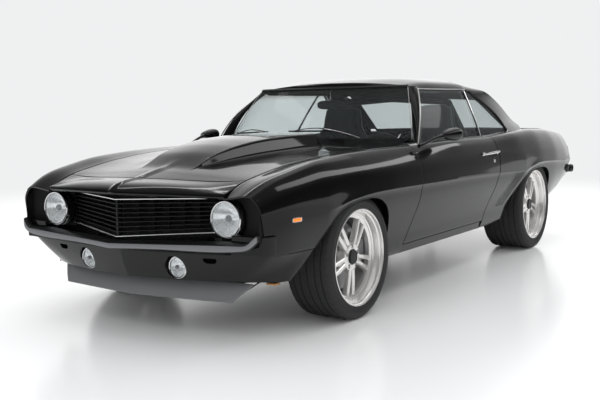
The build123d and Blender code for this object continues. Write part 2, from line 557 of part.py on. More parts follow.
def wheel_parts(a):
    """Tyre, wheel and brake disc of a left wheel."""
    inner_x, outer_x = a["x"] - a["w"], a["x"]
    s, r, rim = a["s"], a["r"], a["rim"]
    axis = Axis((0, Y(s), r), (1, 0, 0))
    with BuildPart() as tyre:
        with BuildSketch(Plane.XY.offset(r)):
            with BuildLine():
                Polyline(*[(x, Y(s) + rad) for x, rad in [
                    (inner_x + 14, rim + 3), (inner_x, rim + 22), (inner_x + 4, r - 32), (inner_x + 26, r - 6), (inner_x + 50, r), (outer_x - 50, r),
                    (outer_x - 26, r - 6), (outer_x - 4, r - 32), (outer_x, rim + 22), (outer_x - 14, rim + 3)]], close=True)
            make_face()
        revolve(axis=axis)
    hub_x = outer_x - 78
    with BuildPart() as wheel:
        with BuildSketch(Plane.XY.offset(r)):
            with BuildLine():
                Polyline(*[(x, Y(s) + rad) for x, rad in [
                    (inner_x + 10, rim + 1), (inner_x + 10, rim - 12), (inner_x + 60, rim - 30), (outer_x - 40, rim - 30), (outer_x - 8, rim - 14), (outer_x - 8, rim + 1)]], close=True)
            make_face()
        revolve(axis=axis)
        with BuildSketch(Plane.YZ.offset(hub_x)):
            with Locations((Y(s), r)):
                Circle(78)
        extrude(amount=46)
        for n in range(5):
            for side in (-1, 1):
                ang = math.radians(270 + 72 * n)
                spread = math.radians(14) * side
                p0 = (Y(s) + 60 * math.cos(ang + spread * 0.8), r + 60 * math.sin(ang + spread * 0.8))
                p1 = (Y(s) + (rim - 24) * math.cos(ang + spread), r + (rim - 24) * math.sin(ang + spread))
                dx, dz = p1[0] - p0[0], p1[1] - p0[1]
                length = math.hypot(dx, dz)
                nx, nz = -dz / length * 12, dx / length * 12
                with BuildSketch(Plane.YZ.offset(hub_x + 12)):
                    with BuildLine():
                        Polyline((p0[0] + nx, p0[1] + nz), (p1[0] + nx, p1[1] + nz), (p1[0] - nx, p1[1] - nz), (p0[0] - nx, p0[1] - nz), close=True)
                    make_face()
                extrude(amount=30)
        with BuildSketch(Plane.YZ.offset(hub_x - 60)):
            with Locations((Y(s), r)):
                Circle(26)
        extrude(amount=70, mode=Mode.SUBTRACT)
    disc_x = hub_x - 62
    with BuildPart() as disc:
        with BuildSketch(Plane.YZ.offset(disc_x)):
            with Locations((Y(s), r)):
                Circle(178)
                Circle(40, mode=Mode.SUBTRACT)
        extrude(amount=30)
        with BuildSketch(Plane.YZ.offset(disc_x + 30)):
            with Locations((Y(s), r)):
                Circle(76)
                Circle(40, mode=Mode.SUBTRACT)
        extrude(amount=31)
    return tyre.part, wheel.part, disc.part, disc_x


for axle_name, a in AXLES.items():
    tyre, wheel, disc, disc_x = wheel_parts(a)
    for side_name, turn in (("left", lambda p: p), ("right", flip)):
        write(f"{axle_name}_{side_name}_tyre", turn(tyre))
        write(f"{axle_name}_{side_name}_wheel", turn(wheel))
        write(f"{axle_name}_{side_name}_brake_disc", turn(disc))
    a["disc_x"] = disc_x
    a["hub_x"] = a["x"] - 78

f = AXLES["front"]
with BuildPart() as knuckle:
    with BuildSketch(Plane.YZ.offset(f["hub_x"] - 130)):
        with Locations((Y(0), f["r"])):
            Circle(25.9)
    extrude(amount=136)
upright = join(knuckle.part, block(KINGPIN_X - 62, f["disc_x"] - 8, -40, 40, 220, 432), block(KINGPIN_X - 62, f["disc_x"] + 40, 120, 196, 262, 394) - drum(f["disc_x"] - 4, f["disc_x"] + 34, 0, f["r"], 182), block(KINGPIN_X - 62, f["disc_x"] - 8, 0, 196, 290, 366))
upright = biggest(upright)
write("left_knuckle", upright)
write("right_knuckle", flip(upright))
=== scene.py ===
import bpy
import math
import numpy as np
from mathutils import Matrix, Vector


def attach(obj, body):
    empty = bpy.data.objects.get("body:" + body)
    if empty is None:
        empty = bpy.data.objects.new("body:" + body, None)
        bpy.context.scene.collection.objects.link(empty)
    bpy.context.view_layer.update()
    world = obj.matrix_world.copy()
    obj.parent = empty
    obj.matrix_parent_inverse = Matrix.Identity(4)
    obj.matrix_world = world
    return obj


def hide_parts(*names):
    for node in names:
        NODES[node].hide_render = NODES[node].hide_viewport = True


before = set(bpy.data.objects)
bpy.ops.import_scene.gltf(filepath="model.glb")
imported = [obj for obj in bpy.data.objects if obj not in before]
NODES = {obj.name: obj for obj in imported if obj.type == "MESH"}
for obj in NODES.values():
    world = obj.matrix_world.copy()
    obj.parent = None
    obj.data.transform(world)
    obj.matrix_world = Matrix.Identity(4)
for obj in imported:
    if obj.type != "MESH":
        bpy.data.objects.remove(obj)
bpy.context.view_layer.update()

Y_AXLE = -1.413          # the front axle in the model's frame, metres
GAP = 7.0

# ------------------------------------------------------------------ helpers


def P(x, s, z):
    """Millimetres (x, station behind the front axle, z) to metres in the frame."""
    return np.stack([np.asarray(x, float) / 1000 + 0 * np.asarray(s, float), np.asarray(s, float) / 1000 + Y_AXLE + 0 * np.asarray(x, float), np.asarray(z, float) / 1000 + 0 * np.asarray(x, float)], axis=-1)


def new_object(name, verts, faces, material=None, smooth=40.0):
    mesh = bpy.data.meshes.new(name)
    mesh.from_pydata([tuple(v) for v in np.asarray(verts, float)], [], [tuple(int(i) for i in f) for f in faces])
    mesh.validate()
    ob = bpy.data.objects.new(name, mesh)
    bpy.context.scene.collection.objects.link(ob)
    if material is not None:
        mesh.materials.append(material)
    shade(ob, smooth)
    return ob


def shade(ob, angle=40.0):
    mesh = ob.data
    if angle is None:
        return
    mesh.polygons.foreach_set("use_smooth", [True] * len(mesh.polygons))
    mesh.set_sharp_from_angle(angle=math.radians(angle))
    mesh.update()


def bake(ob, angle=40.0):
    """Apply all the modifiers of an object."""
    deps = bpy.context.evaluated_depsgraph_get()
    deps.update()
    fresh = bpy.data.meshes.new_from_object(ob.evaluated_get(deps), preserve_all_data_layers=True, depsgraph=deps)
    old = ob.data
    ob.modifiers.clear()
    ob.data = fresh
    bpy.data.meshes.remove(old)
    shade(ob, angle)
    return ob


def join(name, obs, angle=40.0):
    """Join objects into the first, keeping materials."""
    target = obs[0]
    verts, faces, mats, slots = [], [], [], []
    base = 0
    for o in obs:
        m = o.data
        co = np.empty(len(m.vertices) * 3)
        m.vertices.foreach_get("co", co)
        co = co.reshape(-1, 3)
        verts.append(co)
        local = []
        for mt in m.materials:
            if mt not in slots:
                slots.append(mt)
            local.append(slots.index(mt))
        for p in m.polygons:
            faces.append(tuple(i + base for i in p.vertices))
            mats.append(local[p.material_index] if local else 0)
        base += len(co)
    mesh = bpy.data.meshes.new(name)
    mesh.from_pydata([tuple(v) for v in np.concatenate(verts)], [], faces)
    for mt in slots:
        mesh.materials.append(mt)
    mesh.polygons.foreach_set("material_index", mats)
    for o in obs[1:]:
        old = o.data
        bpy.data.objects.remove(o)
        if old.users == 0:
            bpy.data.meshes.remove(old)
    old = target.data
    target.data = mesh
    target.name = name
    if old.users == 0:
        bpy.data.meshes.remove(old)
    shade(target, angle)
    return target


def mirrored(ob, name):
    """A mirror image across the centre plane."""
    mesh = ob.data.copy()
    mesh.transform(Matrix.Scale(-1, 4, (1, 0, 0)))
    mesh.flip_normals()
    twin = bpy.data.objects.new(name, mesh)
    bpy.context.scene.collection.objects.link(twin)
    return twin


def grid_faces(nu, nv, flip=False, close_u=False, close_v=False):
    faces = []
    for i in range(nu if close_u else nu - 1):
        for j in range(nv if close_v else nv - 1):
            a, b = i * nv + j, ((i + 1) % nu) * nv + j
            c, d = ((i + 1) % nu) * nv + (j + 1) % nv, i * nv + (j + 1) % nv
            faces.append((a, d, c, b) if flip else (a, b, c, d))
    return faces


def grid_object(name, pts, material, flip=False, smooth=40.0, close_u=False, close_v=False):
    nu, nv = pts.shape[:2]
    return new_object(name, pts.reshape(-1, 3), grid_faces(nu, nv, flip, close_u, close_v), material, smooth)


def sheet(name, pts, material, thick=0.016, edge=0.0028, flip=False, smooth=40.0, out=None):
    """A panel from a grid of points on its outer face: thickness inwards and rounded edges."""
    ob = grid_object(name, pts, material, flip, smooth)
    if out is not None:
        # turn the faces so that they look towards 'out'
        m = ob.data
        n = np.empty(len(m.polygons) * 3); m.polygons.foreach_get("normal", n)
        if np.dot(n.reshape(-1, 3).mean(axis=0), np.asarray(out, float)) < 0:
            m.flip_normals()
    mod = ob.modifiers.new("thick", "SOLIDIFY")
    mod.thickness = thick
    mod.offset = -1
    mod.use_even_offset = False
    if edge:
        bev = ob.modifiers.new("edge", "BEVEL")
        bev.width = edge
        bev.segments = 2
        bev.limit_method = "ANGLE"
        bev.angle_limit = math.radians(55)
        bev.use_clamp_overlap = True
    return bake(ob, smooth)


def boolean(ob, cutter, kind="DIFFERENCE", angle=40.0, keep=False):
    mod = ob.modifiers.new("cut", "BOOLEAN")
    mod.operation = kind
    mod.object = cutter
    mod.solver = "EXACT"
    bake(ob, angle)
    if not keep:
        old = cutter.data
        bpy.data.objects.remove(cutter)
        bpy.data.meshes.remove(old)
    return ob


def box_object(name, x0, x1, s0, s1, z0, z1, material=None, bevel=0.0):
    """Box in millimetres of (x, s, z)."""
    c = P(*np.array([(x, s, z) for x in (x0, x1) for s in (s0, s1) for z in (z0, z1)]).T)
    faces = [(0, 1, 3, 2), (4, 6, 7, 5), (0, 4, 5, 1), (2, 3, 7, 6), (0, 2, 6, 4), (1, 5, 7, 3)]
    ob = new_object(name, c, faces, material, 30)
    if bevel:
        b = ob.modifiers.new("b", "BEVEL"); b.width = bevel / 1000; b.segments = 3
        bake(ob, 30)
    return ob


def drum_object(name, x0, x1, s, z, r, n=128, material=None):
    """Cylinder across the car, millimetres."""
    a = np.linspace(0, 2 * math.pi, n, endpoint=False)
    ring = lambda x: P(np.full(n, x), s + r * np.cos(a), z + r * np.sin(a))
    verts = np.concatenate([ring(x0), ring(x1)])
    faces = [(i, (i + 1) % n, n + (i + 1) % n, n + i) for i in range(n)] + [tuple(range(n))[::-1], tuple(range(n, 2 * n))]
    ob = new_object(name, verts, faces, material, 30)
    fix_normals(ob)
    return ob


def fix_normals(ob):
    import bmesh
    bm = bmesh.new()
    bm.from_mesh(ob.data)
    bmesh.ops.recalc_face_normals(bm, faces=bm.faces)
    bm.to_mesh(ob.data)
    bm.free()
    ob.data.update()
    return ob


def prism_object(name, outline, a0, a1, plane="side", material=None, bevel=0.0, segments=2, smooth=30):
    """Prism in millimetres. side: outline (s, z) across x; plan: (x, s) upwards; end: (x, z) along s."""
    o = np.asarray(outline, float)
    n = len(o)

    def lay(a):
        f = np.full(n, a)
        return {"side": lambda: P(f, o[:, 0], o[:, 1]), "plan": lambda: P(o[:, 0], o[:, 1], f), "end": lambda: P(o[:, 0], f, o[:, 1])}[plane]()
    verts = np.concatenate([lay(a0), lay(a1)])
    faces = [(i, (i + 1) % n, n + (i + 1) % n, n + i) for i in range(n)] + [tuple(range(n))[::-1], tuple(range(n, 2 * n))]
    ob = new_object(name, verts, faces, material, smooth)
    fix_normals(ob)
    if bevel:
        b = ob.modifiers.new("b", "BEVEL"); b.width = bevel / 1000; b.segments = segments
        b.limit_method = "ANGLE"; b.angle_limit = math.radians(30)
        bake(ob, smooth)
    return ob


def loft_object(name, rings, material=None, closed=True, caps=True, smooth=40, bevel=0.0, segments=2):
    """Skin through rings of equal length (metres)."""
    pts = np.asarray(rings, float)
    nu, nv = pts.shape[:2]
    faces = grid_faces(nu, nv, close_v=closed)
    if caps and closed:
        faces += [tuple(range(nv))[::-1], tuple(range((nu - 1) * nv, nu * nv))]
    ob = new_object(name, pts.reshape(-1, 3), faces, material, smooth)
    fix_normals(ob)
    if bevel:
        b = ob.modifiers.new("b", "BEVEL"); b.width = bevel / 1000; b.segments = segments
        b.limit_method = "ANGLE"; b.angle_limit = math.radians(35)
        bake(ob, smooth)
    return ob


def tube(name, path, radius, material, n=12, caps=True, closed=False):
    """Round tube along points in metres; radius may be a list."""
    path = np.asarray(path, float)
    m = len(path)
    rad = np.broadcast_to(np.asarray(radius, float), (m,))
    if closed:
        tang = np.roll(path, -1, 0) - np.roll(path, 1, 0)
    else:
        tang = np.gradient(path, axis=0)
    tang /= np.linalg.norm(tang, axis=1)[:, None] + 1e-12
    up = np.array([0, 0, 1.0]) if abs(tang[0][2]) < 0.9 else np.array([1.0, 0, 0])
    rings = []
    for k in range(m):
        side = np.cross(tang[k], up); side /= np.linalg.norm(side) + 1e-12
        up = np.cross(side, tang[k])
        a = np.linspace(0, 2 * math.pi, n, endpoint=False)
        rings.append(path[k] + rad[k] * (np.cos(a)[:, None] * side + np.sin(a)[:, None] * up))
    pts = np.asarray(rings)
    faces = grid_faces(m, n, close_u=closed, close_v=True)
    if caps and not closed:
        faces += [tuple(range(n))[::-1], tuple(range((m - 1) * n, m * n))]
    ob = new_object(name, pts.reshape(-1, 3), faces, material, 50)
    fix_normals(ob)
    return ob


def smooth_path(points, n=40):
    """A rounded path through a few points (metres or millimetres)."""
    p = np.asarray(points, float)
    d = np.concatenate([[0], np.cumsum(np.linalg.norm(np.diff(p, axis=0), axis=1))])
    t = np.linspace(0, d[-1], n)
    return np.stack([spline(d, p[:, k])(t) for k in range(p.shape[1])], axis=1)


def spline(x, y):
    """Natural cubic spline."""
    x, y = np.asarray(x, float), np.asarray(y, float)
    n = len(x)
    if n < 3:
        return lambda q: np.interp(q, x, y)
    h = np.diff(x)
    A = np.zeros((n, n)); b = np.zeros(n)
    A[0, 0] = A[-1, -1] = 1
    for i in range(1, n - 1):
        A[i, i - 1], A[i, i], A[i, i + 1] = h[i - 1], 2 * (h[i - 1] + h[i]), h[i]
        b[i] = 6 * ((y[i + 1] - y[i]) / h[i] - (y[i] - y[i - 1]) / h[i - 1])
    m = np.linalg.solve(A, b)

    def f(q):
        q = np.asarray(q, float)
        i = np.clip(np.searchsorted(x, q) - 1, 0, n - 2)
        a, c = x[i + 1] - q, q - x[i]
        return (m[i] * a ** 3 + m[i + 1] * c ** 3) / (6 * h[i]) + (y[i] / h[i] - m[i] * h[i] / 6) * a + (y[i + 1] / h[i] - m[i + 1] * h[i] / 6) * c
    return f


def blurred(x, y, lo, hi, step, sigma):
    """Table on a fine grid, straight between knots, then rounded by a Gaussian."""
    pad = 4 * sigma
    g = np.arange(lo - pad, hi + pad + step, step)
    x, y = np.asarray(x, float), np.asarray(y, float)
    v = np.interp(g, x, y)
    v = np.where(g < x[0], y[0] + (g - x[0]) * (y[1] - y[0]) / (x[1] - x[0]), v)
    v = np.where(g > x[-1], y[-1] + (g - x[-1]) * (y[-1] - y[-2]) / (x[-1] - x[-2]), v)
    k = np.arange(-int(3.5 * sigma / step), int(3.5 * sigma / step) + 1) * step
    w = np.exp(-0.5 * (k / sigma) ** 2); w /= w.sum()
    v2 = np.convolve(v, w, mode="same")
    keep = (g >= lo - 1e-6) & (g <= hi + 1e-6)
    return g[keep], v2[keep]

# ------------------------------------------------------------------ materials


def principled(name, color, rough=0.5, metal=0.0, **kw):
    m = bpy.data.materials.new(name)
    m.use_nodes = True
    b = m.node_tree.nodes["Principled BSDF"]
    b.inputs["Base Color"].default_value = (*color[:3], 1)
    b.inputs["Roughness"].default_value = rough
    b.inputs["Metallic"].default_value = metal
    for k, v in kw.items():
        b.inputs[k.replace("_", " ")].default_value = v
    return m


def add_noise(m, rough=None, bump=None, color=None, scale=40.0, detail=4.0, dist=0.001):
    """Procedural variation: rough=(lo, hi), bump=strength, color=(dark, light)."""
    nt = m.node_tree
    b = nt.nodes["Principled BSDF"]
    geo = nt.nodes.new("ShaderNodeTexCoord")
    noise = nt.nodes.new("ShaderNodeTexNoise")
    noise.inputs["Scale"].default_value = scale
    noise.inputs["Detail"].default_value = detail
    nt.links.new(geo.outputs["Object"], noise.inputs["Vector"])
    if rough:
        r = nt.nodes.new("ShaderNodeMapRange")
        r.inputs["From Min"].default_value, r.inputs["From Max"].default_value = 0.3, 0.7
        r.inputs["To Min"].default_value, r.inputs["To Max"].default_value = rough
        nt.links.new(noise.outputs["Fac"], r.inputs["Value"])
        nt.links.new(r.outputs["Result"], b.inputs["Roughness"])
    if color:
        c = nt.nodes.new("ShaderNodeMix"); c.data_type = "RGBA"
        c.inputs["A"].default_value = (*color[0], 1); c.inputs["B"].default_value = (*color[1], 1)
        nt.links.new(noise.outputs["Fac"], c.inputs["Factor"])
        nt.links.new(c.outputs["Result"], b.inputs["Base Color"])
    if bump:
        bp = nt.nodes.new("ShaderNodeBump")
        bp.inputs["Strength"].default_value = bump
        bp.inputs["Distance"].default_value = dist
        nt.links.new(noise.outputs["Fac"], bp.inputs["Height"])
        nt.links.new(bp.outputs["Normal"], b.inputs["Normal"])
    return m


def flakes(m, scale, strength, dist=0.0002):
    """Fine grain, as in leather, cloth or cast surfaces, from a Voronoi bump."""
    nt = m.node_tree
    b = nt.nodes["Principled BSDF"]
    geo = nt.nodes.new("ShaderNodeTexCoord")
    v = nt.nodes.new("ShaderNodeTexVoronoi"); v.inputs["Scale"].default_value = scale
    bp = nt.nodes.new("ShaderNodeBump"); bp.inputs["Strength"].default_value = strength; bp.inputs["Distance"].default_value = dist
    nt.links.new(geo.outputs["Object"], v.inputs["Vector"])
    nt.links.new(v.outputs["Distance"], bp.inputs["Height"])
    if b.inputs["Normal"].is_linked:
        src = b.inputs["Normal"].links[0].from_node
        nt.links.new(bp.outputs["Normal"], src.inputs["Normal"])
    else:
        nt.links.new(bp.outputs["Normal"], b.inputs["Normal"])
    return m


def weave(m, scale=900.0, strength=0.5, dist=0.0006):
    """Crossed threads for cloth."""
    nt = m.node_tree
    b = nt.nodes["Principled BSDF"]
    geo = nt.nodes.new("ShaderNodeTexCoord")
    waves = []
    for axis in ("X", "Z"):
        w = nt.nodes.new("ShaderNodeTexWave"); w.bands_direction = axis
        w.inputs["Scale"].default_value = scale; w.inputs["Distortion"].default_value = 0.6
        nt.links.new(geo.outputs["Object"], w.inputs["Vector"])
        waves.append(w)
    mx = nt.nodes.new("ShaderNodeMath"); mx.operation = "MAXIMUM"
    nt.links.new(waves[0].outputs["Fac"], mx.inputs[0]); nt.links.new(waves[1].outputs["Fac"], mx.inputs[1])
    bp = nt.nodes.new("ShaderNodeBump"); bp.inputs["Strength"].default_value = strength; bp.inputs["Distance"].default_value = dist
    nt.links.new(mx.outputs["Value"], bp.inputs["Height"])
    nt.links.new(bp.outputs["Normal"], b.inputs["Normal"])
    return m


PAINT = add_noise(principled("satin_black_paint", (0.0035, 0.0035, 0.0038), 0.26, 0.0, Specular_IOR_Level=0.04, Coat_Weight=0.66, Coat_Roughness=0.06, Coat_IOR=1.5), rough=(0.23, 0.30), bump=0.012, scale=900, detail=2, dist=0.0003)
GREY = add_noise(principled("satin_grey_bumper", (0.19, 0.193, 0.202), 0.32, 0.2, Specular_IOR_Level=0.6), rough=(0.32, 0.42), scale=600, bump=0.01, dist=0.0002)
CHIN = add_noise(principled("matte_chin", (0.17, 0.172, 0.177), 0.5), rough=(0.45, 0.58), bump=0.08, scale=700, dist=0.0004)
UNDER = add_noise(principled("underseal", (0.012, 0.012, 0.012), 0.75), rough=(0.65, 0.85), bump=0.5, scale=260, dist=0.001)
CHROME = add_noise(principled("bright_trim", (0.72, 0.72, 0.73), 0.12, 1.0), rough=(0.08, 0.17), scale=60)
ALLOY = add_noise(principled("wheel_alloy", (0.90, 0.885, 0.87), 0.2, 0.72), rough=(0.16, 0.27), scale=90, bump=0.02, dist=0.0002)
ALLOY_SATIN = add_noise(principled("wheel_alloy_satin", (0.66, 0.65, 0.64), 0.33, 0.8), rough=(0.28, 0.4), scale=240, bump=0.03, dist=0.0002)
RUBBER = add_noise(principled("tyre_rubber", (0.02, 0.02, 0.021), 0.62, 0.0, Specular_IOR_Level=0.4), rough=(0.52, 0.72), bump=0.12, scale=420, dist=0.0005, color=None)
TREAD = add_noise(principled("tread_rubber", (0.026, 0.026, 0.027), 0.72, 0.0, Specular_IOR_Level=0.4), rough=(0.62, 0.82), bump=0.2, scale=520, dist=0.0006)
BLACK = add_noise(principled("black_plastic", (0.008, 0.008, 0.009), 0.42), rough=(0.36, 0.5), scale=500, bump=0.05, dist=0.0003)
MATTE = add_noise(principled("black_matte", (0.006, 0.006, 0.006), 0.8), rough=(0.7, 0.9), scale=400, bump=0.1, dist=0.0005)
CABIN = flakes(add_noise(principled("cabin_vinyl", (0.016, 0.016, 0.017), 0.55), rough=(0.48, 0.62), scale=300, bump=0.1, dist=0.0006), 900, 0.3)
CLOTH = weave(principled("seat_cloth", (0.012, 0.012, 0.013), 0.85, 0.0, Sheen_Weight=0.25, Sheen_Roughness=0.5))
LEATHER = flakes(add_noise(principled("seat_vinyl", (0.014, 0.014, 0.015), 0.48), rough=(0.42, 0.56), scale=200, bump=0.1, dist=0.001), 650, 0.4)
CAST = add_noise(principled("cast_metal", (0.3, 0.3, 0.31), 0.5, 0.9), rough=(0.42, 0.62), scale=300, bump=0.2, dist=0.0006)
DISC = add_noise(principled("brake_disc", (0.45, 0.45, 0.46), 0.32, 1.0), rough=(0.26, 0.42), scale=160, bump=0.03, dist=0.0002)
CALIPER = add_noise(principled("caliper", (0.03, 0.03, 0.032), 0.4), rough=(0.34, 0.48), scale=250, bump=0.05, dist=0.0003)
STEEL = add_noise(principled("exhaust_steel", (0.42, 0.40, 0.38), 0.38, 1.0), rough=(0.3, 0.5), scale=30, bump=0.03)
CAGE = add_noise(principled("cage_paint", (0.015, 0.015, 0.016), 0.4), rough=(0.36, 0.46), scale=300, bump=0.02, dist=0.0002)
ORANGE = add_noise(principled("orange_lens", (0.95, 0.24, 0.01), 0.22, 0.0, Coat_Weight=0.6), rough=(0.18, 0.28), scale=120)
ORANGE.node_tree.nodes["Principled BSDF"].inputs["Emission Color"].default_value = (1.0, 0.25, 0.01, 1)
ORANGE.node_tree.nodes["Principled BSDF"].inputs["Emission Strength"].default_value = 0.25
AMBER = add_noise(principled("amber_lens", (0.42, 0.20, 0.07), 0.3, 0.0, Coat_Weight=0.5), rough=(0.24, 0.36), scale=120)
RED = add_noise(principled("red_lens", (0.35, 0.008, 0.006), 0.16, 0.0, Coat_Weight=0.8), rough=(0.12, 0.2), scale=120)
LAMP = add_noise(principled("headlamp_reflector", (0.93, 0.94, 0.95), 0.22, 0.85), rough=(0.16, 0.30), scale=80)
# painted light: a faint white glow on the lamp bowls and bulbs stands in for the light they reflect
LAMP.node_tree.nodes["Principled BSDF"].inputs["Emission Color"].default_value = (1.0, 1.0, 1.0, 1)
LAMP.node_tree.nodes["Principled BSDF"].inputs["Emission Strength"].default_value = 0.12
REFLECTOR = add_noise(principled("lamp_reflector", (0.82, 0.83, 0.84), 0.14, 1.0), rough=(0.1, 0.2), scale=80)


def glass_material(name, tint, alpha_like=0.0, rough=0.0, ior=1.45, tint_rgb=(0.9, 0.95, 0.95)):
    m = principled(name, tint_rgb, rough, 0.0, Transmission_Weight=1.0, IOR=ior)
    return m


def thin_glass(name, tint, reflect=0.06, rough=0.02, haze=0.022):
    """Pane: clear see-through with a sharp reflection that grows at a grazing angle."""
    m = bpy.data.materials.new(name)
    m.use_nodes = True
    nt = m.node_tree
    b = nt.nodes["Principled BSDF"]
    out = nt.nodes["Material Output"]
    b.inputs["Base Color"].default_value = (0.01, 0.012, 0.012, 1)
    b.inputs["Roughness"].default_value = rough
    b.inputs["Specular IOR Level"].default_value = 0.9
    tr = nt.nodes.new("ShaderNodeBsdfTransparent")
    tr.inputs["Color"].default_value = (*tint, 1)
    fr = nt.nodes.new("ShaderNodeLayerWeight"); fr.inputs["Blend"].default_value = 0.5
    rng = nt.nodes.new("ShaderNodeMapRange")
    rng.inputs["To Min"].default_value, rng.inputs["To Max"].default_value = reflect, 0.75
    pw = nt.nodes.new("ShaderNodeMath"); pw.operation = "POWER"; pw.inputs[1].default_value = 4.0
    nt.links.new(fr.outputs["Facing"], pw.inputs[0])
    nt.links.new(pw.outputs["Value"], rng.inputs["Value"])
    mix = nt.nodes.new("ShaderNodeMixShader")
    nt.links.new(rng.outputs["Result"], mix.inputs["Fac"])
    nt.links.new(tr.outputs["BSDF"], mix.inputs[1])
    nt.links.new(b.outputs["BSDF"], mix.inputs[2])
    # a trace of haze on the pane
    df = nt.nodes.new("ShaderNodeBsdfDiffuse"); df.inputs["Color"].default_value = (0.80, 0.86, 0.87, 1)
    mh = nt.nodes.new("ShaderNodeMixShader"); mh.inputs["Fac"].default_value = haze
    nt.links.new(mix.outputs["Shader"], mh.inputs[1]); nt.links.new(df.outputs["BSDF"], mh.inputs[2])
    nt.links.new(mh.outputs["Shader"], out.inputs["Surface"])
    return m


GLASS = thin_glass("clear_glass", (0.93, 0.96, 0.96), 0.05)
GLASS_SIDE = thin_glass("side_glass", (0.95, 0.975, 0.975), 0.02)
LENS = thin_glass("lamp_lens", (0.96, 0.98, 0.99), 0.05, haze=0.12)

# ------------------------------------------------------------------ camera
cam_data = bpy.data.cameras.new("camera")
cam = bpy.data.objects.new("camera", cam_data)
bpy.context.scene.collection.objects.link(cam)
YAW, PITCH, ROLL = 0.58895417, 0.10000624, -0.01720077
fw = np.array([-math.sin(YAW) * math.cos(PITCH), math.cos(YAW) * math.cos(PITCH), -math.sin(PITCH)])
rt = np.cross(fw, [0, 0, 1.0]); rt /= np.linalg.norm(rt)
upv = np.cross(rt, fw)
r2 = math.cos(ROLL) * rt + math.sin(ROLL) * upv
u2 = -math.sin(ROLL) * rt + math.cos(ROLL) * upv
mat = Matrix([[r2[0], u2[0], -fw[0], 3.14247301], [r2[1], u2[1], -fw[1], -3.95294883 + Y_AXLE], [r2[2], u2[2], -fw[2], 1.09305558], [0, 0, 0, 1]])
cam.matrix_world = mat
cam_data.sensor_fit = "HORIZONTAL"
cam_data.sensor_width = 36.0
cam_data.lens = 873.80819 * 36.0 / 600.0
cam_data.clip_start, cam_data.clip_end = 0.1, 400.0
bpy.context.scene.camera = cam

# ------------------------------------------------------------------ body surface
COLS = ("s", "xb", "zb", "xl", "zl", "xc", "xu", "zu", "xh", "zh", "xt", "zt", "zm")
BODY = np.array([
    (-790, 738, 312, 786, 400, 808, 806, 650, 768, 706, 600, 700, 716),
    (-700, 772, 306, 820, 400, 846, 838, 690, 790, 755, 604, 748, 780),
    (-620, 790, 300, 836, 400, 866, 856, 712, 800, 782, 609, 776, 799),
    (-300, 812, 285, 854, 400, 902, 884, 755, 806, 846, 622, 831, 850),
    (0, 824, 272, 862, 400, 918, 893, 775, 802, 870, 645, 860, 876),
    (300, 828, 270, 862, 400, 924, 898, 782, 806, 880, 665, 874, 889),
    (640, 828, 270, 862, 400, 924, 899, 790, 822, 884, 690, 876, 893),
    (1250, 824, 270, 860, 400, 926, 900, 803, 850, 893, 700, 886, 888),
    (1900, 820, 270, 858, 400, 930, 908, 800, 852, 895, 720, 888, 890),
    (2300, 820, 276, 860, 400, 936, 922, 790, 860, 912, 735, 908, 908),
    (2743, 826, 300, 872, 430, 940, 926, 785, 850, 924, 680, 918, 920),
    (3150, 828, 345, 878, 450, 930, 912, 780, 828, 914, 655, 910, 916),
    (3500, 800, 405, 856, 490, 902, 880, 766, 790, 895, 645, 892, 900),
    (3690, 760, 440, 826, 505, 874, 852, 755, 765, 880, 640, 878, 886),
], float)
TABLE = {}
for k, name in enumerate(COLS[1:], 1):
    GS, TABLE[name] = blurred(BODY[:, 0], BODY[:, k], -800, 3700, 10, 62)
CREASE = np.array([(-900, 585), (-790, 590), (-620, 597), (-400, 604), (-285, 614), (-145, 643), (-6, 659), (139, 665), (345, 667), (640, 664), (1250, 659), (1780, 651), (2158, 641), (2336, 633), (2464, 641), (2552, 662), (2693, 677), (2840, 679), (3111, 669), (3296, 660), (3690, 650), (3800, 647)], float)
_, TABLE["zc"] = blurred(CREASE[:, 0], CREASE[:, 1], -800, 3700, 10, 26)
CRISP = np.array([(-900, 0), (-330, 0), (-230, 0.8), (-100, 1), (700, 0.9), (1500, 0.7), (2150, 0.55), (2330, 0.3), (2400, 0.1), (2450, 0.5), (2560, 1), (3200, 0.9), (3690, 0.6), (3800, 0.6)], float)
CROWN = np.array([(-900, 0.9), (-500, 0.75), (0, 0.6), (700, 0.7), (1250, 0.85), (2000, 1.0), (2600, 1.1), (3800, 0.9)], float)

ARCH_FRONT = [(-592, 200), (-575, 240), (-545, 285), (-515, 318), (-475, 360), (-436, 402), (-385, 466), (-335, 518), (-270, 572), (-205, 604), (-130, 626), (-40, 638), (60, 641), (140, 635), (200, 617), (250, 584), (286, 540), (308, 490), (325, 420), (338, 328), (345, 200)]
ARCH_REAR = [(2095, 200), (2125, 300), (2165, 395), (2230, 465), (2300, 525), (2370, 575), (2440, 608), (2520, 628), (2620, 638), (2740, 642), (2860, 638), (2930, 622), (2985, 588), (3022, 545), (3050, 490), (3072, 440), (3085, 400), (3097, 345), (3105, 280), (3110, 200)]
DOOR_FRONT = np.array([(505, 200), (525, 270), (545, 323), (583, 376), (612, 447), (645, 526), (668, 603), (680, 680), (690, 870), (691, 960)], float)
DOOR_REAR = np.array([(1745, 200), (1752, 270), (1762, 340), (1790, 405), (1822, 483), (1868, 600), (1885, 654), (1900, 760), (1904, 870), (1905, 960)], float)


def rounded_line(pts, n=140, rounds=3):
    """Open line with its corners cut, resampled evenly."""
    p = np.asarray(pts, float)
    for _ in range(rounds):
        q = [p[0]]
        for a, b in zip(p[:-1], p[1:]):
            q += [a * 0.75 + b * 0.25, a * 0.25 + b * 0.75]
        q.append(p[-1])
        p = np.array(q)
    d = np.concatenate([[0], np.cumsum(np.linalg.norm(np.diff(p, axis=0), axis=1))])
    t = np.linspace(0, d[-1], n)
    return np.stack([np.interp(t, d, p[:, k]) for k in range(p.shape[1])], axis=1)


